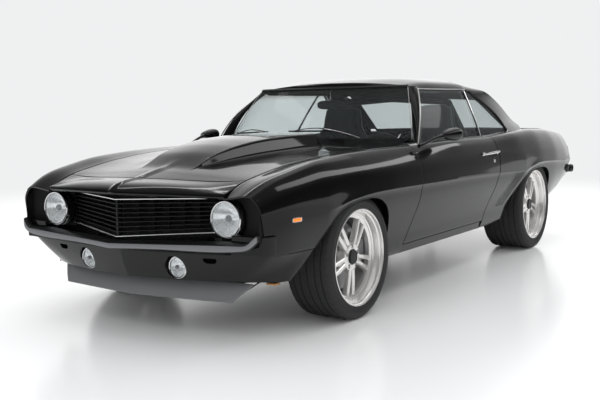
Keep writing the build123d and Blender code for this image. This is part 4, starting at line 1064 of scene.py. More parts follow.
def tyre_object(name, R, W, rim):
    half = [(18, rim - 8), (8, rim - 4.5), (4.2, rim + 1), (4.6, rim + 4), (2.6, rim + 9), (3.2, rim + 11), (1.0, rim + 22), (0.0, rim + 34), (0.5, R - 33), (1.4, R - 26), (2.2, R - 25), (3.4, R - 19), (7.5, R - 11.5), (13.5, R - 6), (21, R - 2.8), (31, R - 1.2)]
    inner = []
    grooves = (46, 84, W / 2 - 5) if W < 300 else (50, 92, W / 2 - 22)
    for g in grooves:
        inner += [(g - 1.2, R - 0.7), (g, R - 2), (g + 1.2, R - 8), (g + 8, R - 8), (g + 9.2, R - 2), (g + 10.4, R - 0.4)]
    if W < 300:
        inner = [p for p in inner if p[0] <= W / 2]
    prof = half + inner
    prof = prof + [(W - d, r) for d, r in prof[::-1] if d < W / 2 - 0.1]
    prof = np.array(prof, float)
    n = 240
    a = np.linspace(0, 2 * math.pi, n, endpoint=False)
    depth = np.minimum(prof[:, 0], W - prof[:, 0])
    cut = np.zeros((len(prof), n))
    for j, (d, r) in enumerate(prof):
        m = depth[j]
        if 2.0 < m < 43 and r > R - 24:
            cut[j] = np.where(np.arange(n) % 5 == 0, 3.6 if m > 7 else 1.6, 0)
        elif m >= 56 and r > R - 1.5:
            cut[j] = np.where((np.arange(n) + (3 if m > 80 else 0)) % 8 == 0, 3.0, 0)
    rad = prof[:, 1:2] - cut
    pts = np.stack([np.repeat(-prof[:, 0:1], n, 1), rad * np.cos(a), rad * np.sin(a)], -1) / 1000
    ob = new_object(name, pts.reshape(-1, 3), grid_faces(len(prof), n, close_v=True, close_u=True), RUBBER, 38)
    ob.data.materials.append(TREAD)
    col = np.repeat(np.arange(len(prof)), n)
    idx = np.zeros(len(ob.data.polygons), int)
    k = np.arange(len(idx)) // n
    on = (depth[np.minimum(k, len(prof) - 1)] > 6) & (prof[np.minimum(k, len(prof) - 1), 1] > R - 14)
    idx[on] = 1
    ob.data.polygons.foreach_set("material_index", idx.tolist())
    return fix_normals(ob)


def blade(A, side, rim):
    """One of a pair of spokes, with a flat polished face and bevelled flanks."""
    ca, sa = math.cos(A), math.sin(A)
    rings = []
    for q in np.linspace(0, 1, 15):
        r = 46 + (rim - 44 - 46) * q
        off = side * (13.5 + 17.0 * q ** 1.1)
        w = 12.2 - 1.5 * q + 5.0 * max(0, q - 0.86) / 0.14
        d0 = 55 + 4 * q + 7.5 * q ** 3
        sec = [(-w - 2.5, d0 + 32), (-w, d0 + 6), (-w + 4.2, d0 + 0.4), (-2, d0 + 1.6), (2, d0 + 1.6), (w - 4.2, d0 + 0.4), (w, d0 + 6), (w + 2.5, d0 + 32)]
        rings.append([(-d / 1000, (r * ca - (off + l) * sa) / 1000, (r * sa + (off + l) * ca) / 1000) for l, d in sec])
    return loft_object("blade", rings, ALLOY, True, True, 25, 0.7)


def wheel_object(name, W, rim, phase=270.0):
    parts = []
    barrel = [(13, rim - 1), (8, rim - 0.5), (5, rim - 2.2), (3.8, rim - 5.5), (5.2, rim - 8.5), (9, rim - 10), (21, rim - 11.5), (23, rim - 13), (25, rim - 17.5), (28, rim - 19), (56, rim - 24), (58, rim - 26), (60.5, rim - 31.5), (64, rim - 33), (80, rim - 34), (100, rim - 40), (W - 70, rim - 42), (W - 30, rim - 30), (W - 12, rim - 20), (W - 7, rim - 12), (W - 6, rim - 3), (W - 9, rim - 0.5), (W - 16, rim - 2)]
    parts.append(lathe("barrel", barrel, ALLOY, 128, True, 26))
    ring = [(64, rim - 33), (65.2, rim - 41), (66.5, rim - 43), (70, rim - 51), (74, rim - 52), (96, rim - 50), (98, rim - 36)]
    parts.append(lathe("ring", ring, ALLOY, 128, True, 26))
    hub = [(150, 30), (150, 72), (100, 74), (64, 76), (58.5, 74.5), (56, 71), (54.6, 64), (54.2, 43), (57, 41.5), (64, 40), (64, 8)]
    hubo = lathe("hub", hub, ALLOY, 120, True, 30)
    nuts = []
    for k in range(5):
        A = math.radians(phase + 36 + 72 * k)
        cy, cz = 58 * math.cos(A), 58 * math.sin(A)
        cut = lathe("cut", [(40, 0.01), (40, 13), (84, 12), (84, 0.01)], ALLOY_SATIN, 32, False)
        cut.data.transform(Matrix.Translation((0, cy / 1000, cz / 1000)))
        boolean(hubo, cut, angle=30)
        nut = lathe("nut", [(84, 10.0), (63, 10.0), (60, 8.5), (58.5, 4.5), (58.3, 0.01)], CHROME, 6, False, 25)
        nut.data.transform(Matrix.Translation((0, cy / 1000, cz / 1000)))
        nuts.append(nut)
    parts += [hubo] + nuts
    for k in range(5):
        A = math.radians(phase + 72 * k)
        parts += [blade(A, -1, rim), blade(A, 1, rim)]
        # recessed web joining the two blades near the hub
        ca, sa = math.cos(A), math.sin(A)
        rings = []
        for r, w in ((60, 14), (86, 15), (112, 16), (118, 8)):
            d0 = 66 + 0.06 * (r - 60)
            rings.append([(-d / 1000, (r * ca - l * sa) / 1000, (r * sa + l * ca) / 1000) for l, d in ((-w, d0), (w, d0), (w, d0 + 16), (-w, d0 + 16))])
        parts.append(loft_object("web", rings, ALLOY_SATIN, True, True, 30, 1.2))
    sq = lambda d, r, a: r * ((np.abs(np.cos(a)) ** 3.2 + np.abs(np.sin(a)) ** 3.2) ** (-1 / 3.2) - 1) * 0.75
    parts.append(lathe("cap", [(66, 36.5), (48, 36.5), (44.5, 35.2), (43.2, 33), (43.6, 30), (45.5, 28.5), (45.0, 20), (44.2, 8), (44, 0.01)], BLACK, 96, False, 35, sq))
    valve = tube("valve", np.array([(-0.060, 0.0, 0.0), (-0.036, 0.0, 0.0)]) + np.array([0, (rim - 34) / 1000 * math.cos(3.6), (rim - 34) / 1000 * math.sin(3.6)]), 0.0035, BLACK, 10)
    parts.append(valve)
    return join(name, parts, 28)


def disc_object(name, off):
    prof = [(off - 13, 80), (off - 13, 177), (off - 12, 178), (off - 3.5, 178), (off - 3, 174), (off + 3, 174), (off + 3.5, 178), (off + 12, 178), (off + 13, 177), (off + 13, 80)]
    d = lathe("rotor", prof, DISC, 144, True, 30)
    for k in range(20):
        for rr, sh in ((110, 0.0), (132, 0.10), (156, 0.2)):
            pass
    hat = lathe("hat", [(off - 60, 40), (off - 60, 68), (off - 56, 71), (off - 12, 76), (off - 12, 82), (off + 6, 82), (off + 6, 40)], CAST, 72, True, 30)
    return join(name, [d, hat], 30)


def caliper_object(name, off, A0):
    rings = []
    for A in np.radians(np.linspace(A0 - 33, A0 + 33, 17)):
        e = 1 - 0.12 * (abs(math.degrees(A) - A0) / 33) ** 4
        sec = [(off - 36, 116), (off - 36, 176), (off - 30, 188), (off - 20, 194), (off + 22, 194), (off + 32, 188), (off + 38, 176), (off + 38, 116), (off + 17, 112), (off + 17, 180), (off - 17, 180), (off - 17, 112)]
        rings.append([(-d / 1000, r * e * math.cos(A) / 1000, r * e * math.sin(A) / 1000) for d, r in sec])
    return loft_object(name, rings, CALIPER, True, True, 30, 1.6)


for axle, s_ax, R_, W_, rim_, outer_ in (("front", 0.0, 328.0, 270.0, 259.0, 884.0), ("rear", 2743.0, 345.0, 318.0, 270.0, 892.0)):
    T = Matrix.Translation((outer_ / 1000, s_ax / 1000 + Y_AXLE, R_ / 1000))
    ty = tyre_object(f"{axle}_left_tyre_rubber", R_, W_, rim_)
    wh = wheel_object(f"{axle}_left_rim", W_, rim_)
    dc = disc_object(f"{axle}_left_rotor", 140.0)
    cl = caliper_object(f"{axle}_left_caliper", 140.0, 10.0 if axle == "front" else 170.0)
    for ob in (ty, wh, dc, cl):
        ob.data.transform(T)
    for side in ("left", "right"):
        if side == "right":
            ty, wh, dc, cl = (mirrored(o, o.name.replace("left", "right")) for o in (ty, wh, dc, cl))
        body = f"{axle}_{side}_wheel"
        done(ty, body, (f"{axle}_{side}_tyre",))
        done(wh, body, (f"{axle}_{side}_wheel",))
        done(dc, body, (f"{axle}_{side}_brake_disc",))
        done(cl, f"{side}_knuckle" if axle == "front" else "body")

# ------------------------------------------------------------------ roof and sails
RT = np.array([(1165, 1290, 1286, 1272, 1260, 578, 1236), (1400, 1318, 1315, 1303, 1287, 590, 1236), (1750, 1328, 1325, 1313, 1296, 594, 1237), (2060, 1322, 1318, 1306, 1290, 592, 1238), (2330, 1292, 1288, 1274, 1262, 582, 1232)], float)
RT[:, 1:5] -= 1.0
rt = [spline(RT[:, 0], RT[:, k]) for k in range(1, 7)]
SAIL_Z = np.array([1244, 1190, 1090, 996, 930, 890], float)
SAIL_F = np.array([(590, 2050), (622, 2120), (676, 2306), (734, 2398), (775, 2430), (780, 2440)], float)
SAIL_R = np.array([(588, 2330), (618, 2490), (648, 2670), (686, 2790), (705, 2920), (712, 2940)], float)
NA, NC = 44, 40


def roof_row(s_mid, s_edge=None):
    """Cross line of the roof from the centre to the drip edge."""
    cx = np.array([0, 200, 400, 500, 560, 0.0])
    s_at = lambda x, dx: s_mid + ((s_edge if s_edge is not None else s_mid) - s_mid) * (x / dx) ** 2
    dx = float(rt[4](s_mid)); cx[-1] = dx
    zz = [float(rt[k](s_at(x, dx))) for k, x in zip((0, 1, 2, 3), cx[:4])]
    zd = float(rt[5](s_mid))
    z5 = zd + (zz[3] - zd) * 0.55
    px, pz = np.array([0, 200, 400, 500, dx - 26, dx]), np.array(zz + [z5, zd + 2])
    d = np.concatenate([[0], np.cumsum(np.hypot(np.diff(px), np.diff(pz)))])
    fx, fz = spline(d, px), spline(d, pz)
    q = np.linspace(0, 1, NA)
    q = q ** 0.9 * d[-1]
    x = fx(q); z = fz(q)
    return np.stack([x, s_at(x, dx), z], 1)


rowsA = []
for a in np.linspace(0, 1, 44):
    s_c = 1138 + (2050 - 1138) * a
    s_e = 1176 + (2050 - 1176) * a
    rowsA.append(roof_row(s_c, s_e))
r0 = rowsA[0]
w_ = np.clip((575 - r0[:, 0]) / 40, 0, 1)[:, None]
lead = []
for ds, dz in ((-4, -38), (-12, -30), (-15, -19), (-11, -8), (-5, -2.2)):
    lead.append(r0 + np.array([0, ds, dz]) * (0.15 + 0.85 * w_))
rowsA = lead + rowsA
rowsB = []
for a in np.linspace(0, 1, 34):
    base = roof_row(2050 + 280 * a)
    ctrl = [base[k] for k in (0, 12, 22, 30, 35)]
    keep = base[:36]
    side = []
    for k in range(len(SAIL_Z)):
        if k == 0:
            # shoulder, eased so that the roof turns smoothly into the sail
            p_ = SAIL_F[0] * (1 - a) + SAIL_R[0] * a
            side.append((p_[0] + 1, p_[1], 1240 + 2 * math.sin(math.pi * a)))
        else:
            p_ = SAIL_F[k] * (1 - a) + SAIL_R[k] * a
            side.append((p_[0] + 5 * math.sin(math.pi * a), p_[1], SAIL_Z[k]))
    pts_ = np.array([keep[24], keep[30], keep[35]] + side)
    d = np.concatenate([[0], np.cumsum(np.linalg.norm(np.diff(pts_, axis=0), axis=1))])
    f_ = [spline(d, pts_[:, k]) for k in range(3)]
    q = np.concatenate([np.linspace(d[0], d[3], 14)[1:], np.linspace(d[3], d[-1], NC)[1:]])
    tail_ = np.stack([f_[k](q) for k in range(3)], 1)
    rowsB.append(np.concatenate([keep[:25], tail_]))
rB = rowsB[-1]
nB = len(rB)
onroof = np.clip((1236 - rB[:, 2]) / 40, 0, 1)[:, None]
for ds, dz, dx2, ds2 in ((6, -2.5, -1.5, 5), (10, -9, -7, 8), (11, -20, -16, 7), (8, -34, -30, 2)):
    rowsB.append(rB + (1 - onroof) * np.array([0, ds, dz]) + onroof * np.array([dx2, ds2, 0]))
# roof and sail rows stitched into one grid of faces
verts, faces = [], []
for r in rowsA:
    verts += [tuple(p) for p in r]
nA_rows = len(rowsA)
for i in range(nA_rows - 1):
    for j in range(NA - 1):
        a_ = i * NA + j
        faces.append((a_, a_ + NA, a_ + NA + 1, a_ + 1))
baseB = len(verts)
for r in rowsB:
    verts += [tuple(p) for p in r]
for i in range(len(rowsB) - 1):
    for j in range(nB - 1):
        a_ = baseB + i * nB + j
        faces.append((a_, a_ + nB, a_ + nB + 1, a_ + 1))
verts = np.array(verts)
roof_parts = []
for sx in (1, -1):
    v2 = verts.copy(); v2[:, 0] *= sx
    o = new_object("roof", P(v2[:, 0], v2[:, 1], v2[:, 2]), faces, PAINT, 35)
    if sx > 0:
        o.data.flip_normals()
    roof_parts.append(o)
roof_ob = join("roof_skin", roof_parts, 40)
import bmesh
bm = bmesh.new(); bm.from_mesh(roof_ob.data)
bmesh.ops.remove_doubles(bm, verts=bm.verts, dist=0.0012)
bmesh.ops.recalc_face_normals(bm, faces=bm.faces)
bm.to_mesh(roof_ob.data); bm.free()
up_ = sum(p.normal.z for p in roof_ob.data.polygons)
if up_ < 0:
    roof_ob.data.flip_normals()
m_ = roof_ob.modifiers.new("thick", "SOLIDIFY"); m_.thickness = 0.014; m_.offset = -1
b_ = roof_ob.modifiers.new("edge", "BEVEL"); b_.width = 0.0025; b_.segments = 2; b_.limit_method = "ANGLE"; b_.angle_limit = math.radians(55)
bake(roof_ob, 38)

# headlining under the roof
hl = []
for s_ in np.linspace(1175, 2330, 20):
    x_ = np.linspace(-560, 560, 31)
    zc = np.array([float(rt[0](s_)), float(rt[2](s_)), float(rt[5](s_))])
    z_ = np.interp(np.abs(x_), [0, 400, 560], [zc[0] - 34, zc[1] - 32, zc[2] - 6])
    hl.append(P(x_, np.full(31, s_), z_))
headlining = sheet("headlining", np.array(hl), CABIN, thick=0.008, edge=0, out=(0, 0, -1))
done(headlining, "body")

# windscreen pillars
def ring_curve(poly, n=24, cuts=3):
    p = np.asarray(poly, float)
    for _ in range(cuts):
        nxt = np.roll(p, -1, 0)
        p = np.stack([p * 0.78 + nxt * 0.22, p * 0.22 + nxt * 0.78], 1).reshape(-1, 2)
    d = np.concatenate([[0], np.cumsum(np.linalg.norm(np.diff(np.vstack([p, p[:1]]), axis=0), axis=1))])
    t = np.linspace(0, d[-1], n, endpoint=False)
    c = np.vstack([p, p[:1]])
    return np.stack([np.interp(t, d, c[:, k]) for k in (0, 1)], 1)


PIL_Z = [893, 1120, 1246]
PIL = [ring_curve(q) for q in ([(708, 948), (735, 918), (772, 888), (786, 905), (766, 960), (725, 965)], [(644, 1060), (668, 1052), (694, 1056), (705, 1082), (694, 1112), (655, 1096)], [(574, 1168), (586, 1166), (598, 1180), (602, 1252), (584, 1262), (566, 1215)])]
pil = []
for z in np.linspace(872, 1250, 22):
    ring = np.array([[spline(PIL_Z, [PIL[k][j][c] for k in range(3)])(z) for c in (0, 1)] for j in range(24)])
    pil.append(P(ring[:, 0], ring[:, 1], np.full(24, z)))
pillar = loft_object("pillar", pil, PAINT, True, True, 40)
pillar_r = mirrored(pillar, "pillar_r")
roof_ob = join("roof_skin", [roof_ob, pillar, pillar_r], 38)
done(roof_ob, "body", ("roof",))

# ------------------------------------------------------------------ glass
WB = np.array([(0, 800), (400, 832), (640, 890), (716, 950)], float)
WT = np.array([(0, 1128), (300, 1132), (520, 1149), (578, 1166)], float)
wb_s, wt_s = spline(WB[:, 0], WB[:, 1]), spline(WT[:, 0], WT[:, 1])


def screen_point(u, v, off=0.0):
    """u -1..1 across, v 0 base, 1 top."""
    au = np.abs(u)
    xb, xt = 716 * au, 578 * au
    sb, st = wb_s(xb), wt_s(xt)
    x = xb + (xt - xb) * v; s = sb + (st - sb) * v; z = 900 + 354 * v
    b = 12 * np.sin(np.pi * v)
    return P(np.sign(u) * (x + 0.35 * b * au), s - b * 0.75 - off * 0.73, z + b * 0.66 + off * 0.68)


U = np.linspace(-1, 1, 61); V = np.linspace(0, 1, 25)
UU, VV = np.meshgrid(U, V, indexing="ij")
def tinted(name, tint, tint2, z0, z1, reflect):
    m = thin_glass(name, tint, reflect)
    nt = m.node_tree
    tr = [n for n in nt.nodes if n.bl_idname == "ShaderNodeBsdfTransparent"][0]
    tc = nt.nodes.new("ShaderNodeTexCoord"); sp = nt.nodes.new("ShaderNodeSeparateXYZ")
    mr = nt.nodes.new("ShaderNodeMapRange"); mr.interpolation_type = "SMOOTHSTEP"
    mr.inputs["From Min"].default_value, mr.inputs["From Max"].default_value = z0, z1
    mx = nt.nodes.new("ShaderNodeMix"); mx.data_type = "RGBA"
    mx.inputs["A"].default_value = (*tint, 1); mx.inputs["B"].default_value = (*tint2, 1)
    nt.links.new(tc.outputs["Object"], sp.inputs["Vector"]); nt.links.new(sp.outputs["Z"], mr.inputs["Value"])
    nt.links.new(mr.outputs["Result"], mx.inputs["Factor"]); nt.links.new(mx.outputs["Result"], tr.inputs["Color"])
    return m


SCREEN = tinted("screen_glass", (0.93, 0.955, 0.955), (0.60, 0.57, 0.56), 1.17, 1.24, 0.06)
screen = sheet("windshield_glass", screen_point(UU, VV), SCREEN, thick=0.005, edge=0.0008, out=(0, -0.7, 0.7), smooth=60)
done(screen, "body", ("windshield",))
# cowl between the hood's rear edge and the foot of the windshield
CU = np.linspace(-0.995, 0.995, 81)
foot = screen_point(CU, np.full(81, 0.05), 7)
cx_ = foot[:, 0] * 1000 * 0.975
cowl_s = max(606.0, 1000 * min(v[1] for v in NODES["cowl_panel"].bound_box) + 1413 + 2)
front_ = P(cx_, np.full(81, cowl_s), base_z(cx_, np.full(81, cowl_s)) - 1.5)

cowl_rows = []
for q in np.linspace(0, 1, 12):
    r_ = front_ * (1 - q) + foot * q
    r_[:, 2] -= 0.007 * math.sin(math.pi * q)
    cowl_rows.append(r_)
cowl = sheet("cowl_skin", np.array(cowl_rows), PAINT, thick=0.004, edge=0.001, out=(0, 0, 1))
done(cowl, "body")
edge_l = screen_point(np.full(40, 1.0), np.linspace(0.0, 1.0, 40), 3)
edge_r = screen_point(np.full(40, -1.0), np.linspace(0.0, 1.0, 40), 3)
inl = edge_l.copy(); inl[:, 0] -= 0.003
inr = edge_r.copy(); inr[:, 0] += 0.003
mould = [line_sweep("m", inl, 4, 4, ALLOY_SATIN, 1.0, up=(0, -0.7, 0.7)), line_sweep("m", inr, 4, 4, ALLOY_SATIN, 1.0, up=(0, -0.7, 0.7))]
top_l = screen_point(np.linspace(-1, 1, 60), np.full(60, 0.985), 4)
mould.append(line_sweep("m", top_l, 18, 7, BLACK, 1.5, up=(0, -0.7, 0.7)))
bot_l = screen_point(np.linspace(-1, 1, 60), np.full(60, 0.01), 4)
mould.append(line_sweep("m", bot_l, 18, 9, BLACK, 1.5, up=(0, -0.7, 0.7)))
done(join("windshield_moulding", mould), "body")

# rear window
RWU = np.linspace(-1, 1, 41)
rw = []
for v in np.linspace(0, 1, 20):
    xh = 528 + 100 * v
    s_ = 2345 + 580 * v + 0 * RWU
    z_ = 1250 - 322 * v - 16 * np.abs(RWU) ** 2.5 * (1 - v) + 10 * math.sin(math.pi * v) * (1 - RWU ** 2)
    rw.append(P(RWU * xh, s_, z_))
RGLASS = thin_glass("rear_glass", (0.94, 0.965, 0.965), 0.05)
rear_glass = sheet("rear_window_glass", np.array(rw), RGLASS, thick=0.005, edge=0.0008, out=(0, 0.5, 0.8), smooth=60)
done(rear_glass, "body", ("rear_window",))
rwp = np.array(rw)
frame_l = np.concatenate([rwp[:, 0][::-1], rwp[0][1:-1], rwp[:, -1]]) + np.array([0, 0.002, 0.004])
mo = [line_sweep("m", rwp[:, 0] + np.array([0.004, 0.002, 0.005]), 20, 7, CHROME, 1.5, up=(0, 0.5, 0.86)), line_sweep("m", rwp[:, -1] + np.array([-0.004, 0.002, 0.005]), 20, 7, CHROME, 1.5, up=(0, 0.5, 0.86)),
      line_sweep("m", rwp[0] + np.array([0, 0.006, 0.002]), 20, 7, CHROME, 1.5, up=(0, 0.5, 0.86)), line_sweep("m", rwp[-1] + np.array([0, -0.006, 0.006]), 20, 7, CHROME, 1.5, up=(0, 0.5, 0.86))]
done(join("rear_window_moulding", mo), "body")

# trim round the inside of the rear window


def rear_trim(us, vs):
    g = []
    for v in vs:
        u = np.asarray(us)
        g.append(P(u * (528 + 100 * v), 2345 + 580 * v + 0 * u - 9, 1250 - 322 * v - 16 * np.abs(u) ** 2.5 * (1 - v) + 10 * np.sin(math.pi * np.clip(v, 0, 1)) * (1 - u ** 2) - 15))
    return np.array(g)


rt_ = [sheet("r", rear_trim(np.linspace(-1.03, 1.03, 41), np.linspace(-0.05, 0.18, 8)), CABIN, thick=0.004, edge=0.0008, out=(0, 0.5, 0.8)),
       sheet("r", rear_trim(np.linspace(-0.97, 0.97, 41), np.linspace(0.92, 1.0, 4)), CABIN, thick=0.004, edge=0.0008, out=(0, 0.5, 0.8)),
       sheet("r", rear_trim(np.linspace(-1.07, -0.94, 5), np.linspace(0.18, 0.92, 16)), CABIN, thick=0.004, edge=0.0008, out=(0, 0.5, 0.8)),
       sheet("r", rear_trim(np.linspace(0.94, 1.07, 5), np.linspace(0.18, 0.92, 16)), CABIN, thick=0.004, edge=0.0008, out=(0, 0.5, 0.8))]
done(join("rear_window_inner_trim", rt_), "body")

# side glass
DOOR_G = [(858, 850), (884, 893), (1082, 1120), (1215, 1222), (1948, 1222), (1862, 893), (1850, 850)]
QUART_G = [(1876, 902), (1964, 1222), (2052, 1222), (2110, 1190), (2300, 1080), (2388, 990), (2415, 940), (2418, 915)]
gx = lambda z: 800 - (np.asarray(z, float) - 850) * 0.5 + 9 * np.sin(np.pi * np.clip((np.asarray(z, float) - 850) / 372, 0, 1))


def pane(name, outline, material):
    z_ = np.array([p[1] for p in outline], float)
    lo, hi = z_.min(), z_.max()
    o = np.array(outline + outline[:1], float)
    zs = np.unique(np.concatenate([np.linspace(lo, hi, 22), z_[(z_ > lo) & (z_ < hi)]]))
    zs[0] += 0.5; zs[-1] -= 0.5
    rows = []
    for z in zs:
        hit = []
        for a_, b_ in zip(o[:-1], o[1:]):
            if (a_[1] - z) * (b_[1] - z) <= 0 and a_[1] != b_[1]:
                hit.append(a_[0] + (b_[0] - a_[0]) * (z - a_[1]) / (b_[1] - a_[1]))
        sa, sb = min(hit), max(hit)
        s_ = np.linspace(sa, sb, 14)
        rows.append(P(np.full(14, float(gx(z))), s_, np.full(14, z)))
    return sheet(name, np.array(rows), material, thick=0.005, edge=0.0008, out=(1, 0, 0.3), smooth=60), rows


dg, _ = pane("door_glass_left", DOOR_G, GLASS_SIDE)
dg_r = mirrored(dg, "door_glass_right")
done(dg, "left_door", ("left_door_glass",)); done(dg_r, "right_door", ("right_door_glass",))
qg, _ = pane("quarter_glass_left", QUART_G, GLASS_SIDE)
qg_r = mirrored(qg, "quarter_glass_right")
done(qg, "body"); done(qg_r, "body", ("quarter_windows",))


def along_glass(pts, off=4.0, n=40):
    p = smooth_path(pts, n) if len(pts) > 2 else np.stack([np.linspace(pts[0][k], pts[1][k], n) for k in (0, 1)], 1)
    return P(gx(p[:, 1]) + off, p[:, 0], p[:, 1])


for sx, side in ((1, "left"), (-1, "right")):
    tr = []
    # divider bar on the quarter glass's front edge
    tr.append(line_sweep("t", along_glass([(1868, 890), (1966, 1228)], 5), 10, 15, CHROME, 1.6, up=(0, 1, 0)))
    # moulding along the sill of the quarter glass and up the sail a little
    tr.append(line_sweep("t", along_glass([(1874, 900), (2100, 906), (2300, 912), (2400, 917), (2430, 930)], 7), 9, 12, CHROME, 1.6))
    # drip moulding above the side glass
    s_ = np.linspace(1250, 2046, 60)
    x_ = rt[4](np.clip(s_, 1165, 2330)); z_ = rt[5](np.clip(s_, 1165, 2330))
    tr.append(line_sweep("t", P(x_ + 1.5, s_, z_ - 1), 6, 7, ALLOY_SATIN, 1.4))
    # down the pillar, in front of the door glass
    zz = np.linspace(885, 1236, 30)
    xx = np.array([float(spline(PIL_Z, [783, 704, 604])(z)) for z in zz]); ss = np.array([float(spline(PIL_Z, [892, 1080, 1252])(z)) for z in zz])
    tr.append(line_sweep("t", P(xx + 0.5, ss - 5, zz), 5, 9, ALLOY_SATIN, 1.2, up=(0, 1, 0)))
    # black seal strips round the quarter opening
    tr.append(line_sweep("t", along_glass([(2052, 1224), (2112, 1192), (2302, 1082), (2392, 992), (2420, 940)], 2), 16, 14, BLACK, 2, up=(1, 0, 0)))
    tr.append(line_sweep("t", P(x_ - 6, s_, z_ - 12), 16, 14, BLACK, 2))
    ob = join(f"side_glass_trim_{side}", tr)
    if sx < 0:
        ob.data.transform(Matrix.Scale(-1, 4, (1, 0, 0))); ob.data.flip_normals()
    done(ob, "body")
    # belt seals on the door
    s_ = np.linspace(712, 1880, 60)
    xo, zo = skin_xz(s_, np.full(60, 3.42))
    seals = [line_sweep("t", P(xo - 8, s_, zo + 2), 14, 8, BLACK, 2)]
    seals.append(line_sweep("t", P(xo - 1.5, s_, zo + 3.5), 4, 4, CHROME, 0.8))
    ob = join(f"door_belt_trim_{side}", seals)
    if sx < 0:
        ob.data.transform(Matrix.Scale(-1, 4, (1, 0, 0))); ob.data.flip_normals()
    done(ob, f"{side}_door")



# ------------------------------------------------------------------ side details


def flip_side(ob, sx):
    if sx < 0:
        ob.data.transform(Matrix.Scale(-1, 4, (1, 0, 0)))
        ob.data.flip_normals()
    return ob


for sx, side in ((1, "left"), (-1, "right")):
    # slanted gills ahead of the rear wheel, each a matte slot of painted shade with a thin chrome strip as a painted
    # highlight on its edge
    g = []
    for k in range(4):
        s_ = np.linspace(2205 + 44 * k, 1965 + 34 * k, 26); z_ = np.linspace(621, 410, 26)
        x_ = x_at(s_, z_, 0.0, 1.3)
        # painted shade: a matte black strip stands for the shade inside the gill's recess
        g.append(line_sweep("g", P(x_ + 0.2, s_ + 8, z_), 19, 4, MATTE, 0.8, up=(1, 0, 0)))
        g.append(line_sweep("g", P(x_ + 0.6, s_ - 4, z_), 6, 4.5, PAINT, 1.6, up=(1, 0, 0)))
        # painted highlight: a thin chrome strip stands for the bright edge of the gill
        g.append(line_sweep("g", P(x_ + 1.4, s_ - 7, z_), 3.0, 5, CHROME, 1.0, up=(1, 0, 0)))
    done(flip_side(join(f"gills_{side}", g), sx), "body")
    # pull handle and lock
    h = []
    s_ = np.linspace(1592, 1880, 40); q = (s_ - 1592) / 288
    z_ = 791 + 9 * q
    x_ = x_at(s_, z_, 1.2, 2.6)
    lift = 6 + 20 * np.clip(np.minimum(q / 0.16, (1 - q) / 0.10), 0, 1) ** 0.7
    pts = P(x_ + lift, s_, z_)
    hw = 4.5 + 4.0 * np.sin(np.pi * np.clip(q, 0.02, 0.98)) ** 0.6
    rings = []
    for p_, w in zip(pts, hw):
        a = np.linspace(0, 2 * math.pi, 12, endpoint=False)
        rings.append(np.stack([p_[0] + 0.0055 * np.cos(a), np.full(12, p_[1]), p_[2] + w / 1000 * np.sin(a)], 1))
    h.append(loft_object("h", rings, CHROME, True, True, 50))
    h.append(line_sweep("h", P(x_at(np.linspace(1690, 1850, 20), np.full(20, 777.0), 1.2, 2.6) + 0.6, np.linspace(1690, 1850, 20), np.full(20, 777.0)), 26, 3, MATTE, 1.2, up=(1, 0, 0)))
    for s0_, s1_ in ((1600, 1640), (1835, 1872)):
        ss = np.linspace(s0_, s1_, 8)
        h.append(line_sweep("h", P(x_at(ss, np.full(8, 792.0), 1.2, 2.6) + 2, ss, np.full(8, 793.0)), 24, 8, CHROME, 2.5, up=(1, 0, 0)))
    xl_ = float(x_at(np.array([1790.0]), np.array([738.0]), 1.0, 2.6)[0])
    lk = lathe("lock", [(2, 0.01), (-1.5, 4), (-1.5, 7.5), (-3.5, 8.5), (-3, 11.5), (2, 13), (6, 13), (6, 0.01)], CHROME, 32, False)
    lk.data.transform(Matrix.Translation((xl_ / 1000, 1790 / 1000 + Y_AXLE, 0.738)))
    h.append(lk)
    done(flip_side(join(f"door_handle_{side}", h), sx), f"{side}_door")
    # mirror: bullet head, stalk and foot
    mr = []
    cx, cz = 950.0, 944.0
    rings = []
    for q in np.linspace(0, 1, 22):
        s_ = 902 + 138 * q
        w = 63 * min(1.0, (q + 0.001) ** 0.42 * 1.02) * (1 - 0.05 * max(0, q - 0.8) / 0.2)
        hh = 42 * min(1.0, (q + 0.001) ** 0.45 * 1.02) * (1 - 0.05 * max(0, q - 0.8) / 0.2)
        a = np.linspace(0, 2 * math.pi, 40, endpoint=False)
        c_, s2 = np.sign(np.cos(a)) * np.abs(np.cos(a)) ** 0.86, np.sign(np.sin(a)) * np.abs(np.sin(a)) ** 0.86
        off = -10 * (1 - q) ** 2
        rings.append(P(cx + off + w * c_, np.full(40, s_), cz + off * 0.5 + hh * s2))
    mr.append(loft_object("head", rings, PAINT, True, True, 45, 1.6))
    a = np.linspace(0, 2 * math.pi, 40, endpoint=False)
    face = [P(cx + r * 56 * np.cos(a), np.full(40, 1041.5), cz + r * 36 * np.sin(a)) for r in (1.0, 0.5, 0.02)]
    mr.append(loft_object("glass", face, REFLECTOR, True, False, 50))
    path = smooth_path([(878, 700, 884), (888, 720, 889), (900, 775, 905), (918, 850, 925), (936, 920, 936)], 30)
    rad = np.interp(np.linspace(0, 1, 30), [0, 0.2, 0.7, 1], [0.013, 0.0095, 0.010, 0.016])
    mr.append(tube("stalk", P(path[:, 0], path[:, 1], path[:, 2]), rad, PAINT, 16))
    ss = np.linspace(640, 735, 16) + 58
    xf, zf = skin_xz(ss, np.full(16, 3.16))
    mr.append(line_sweep("foot", P(xf, ss, zf + 2), 24, 9, CHROME, 3.2, up=(0.3, 0, 1)))
    done(flip_side(join(f"mirror_{side}", mr), sx), f"{side}_door", (f"{side}_mirror",))

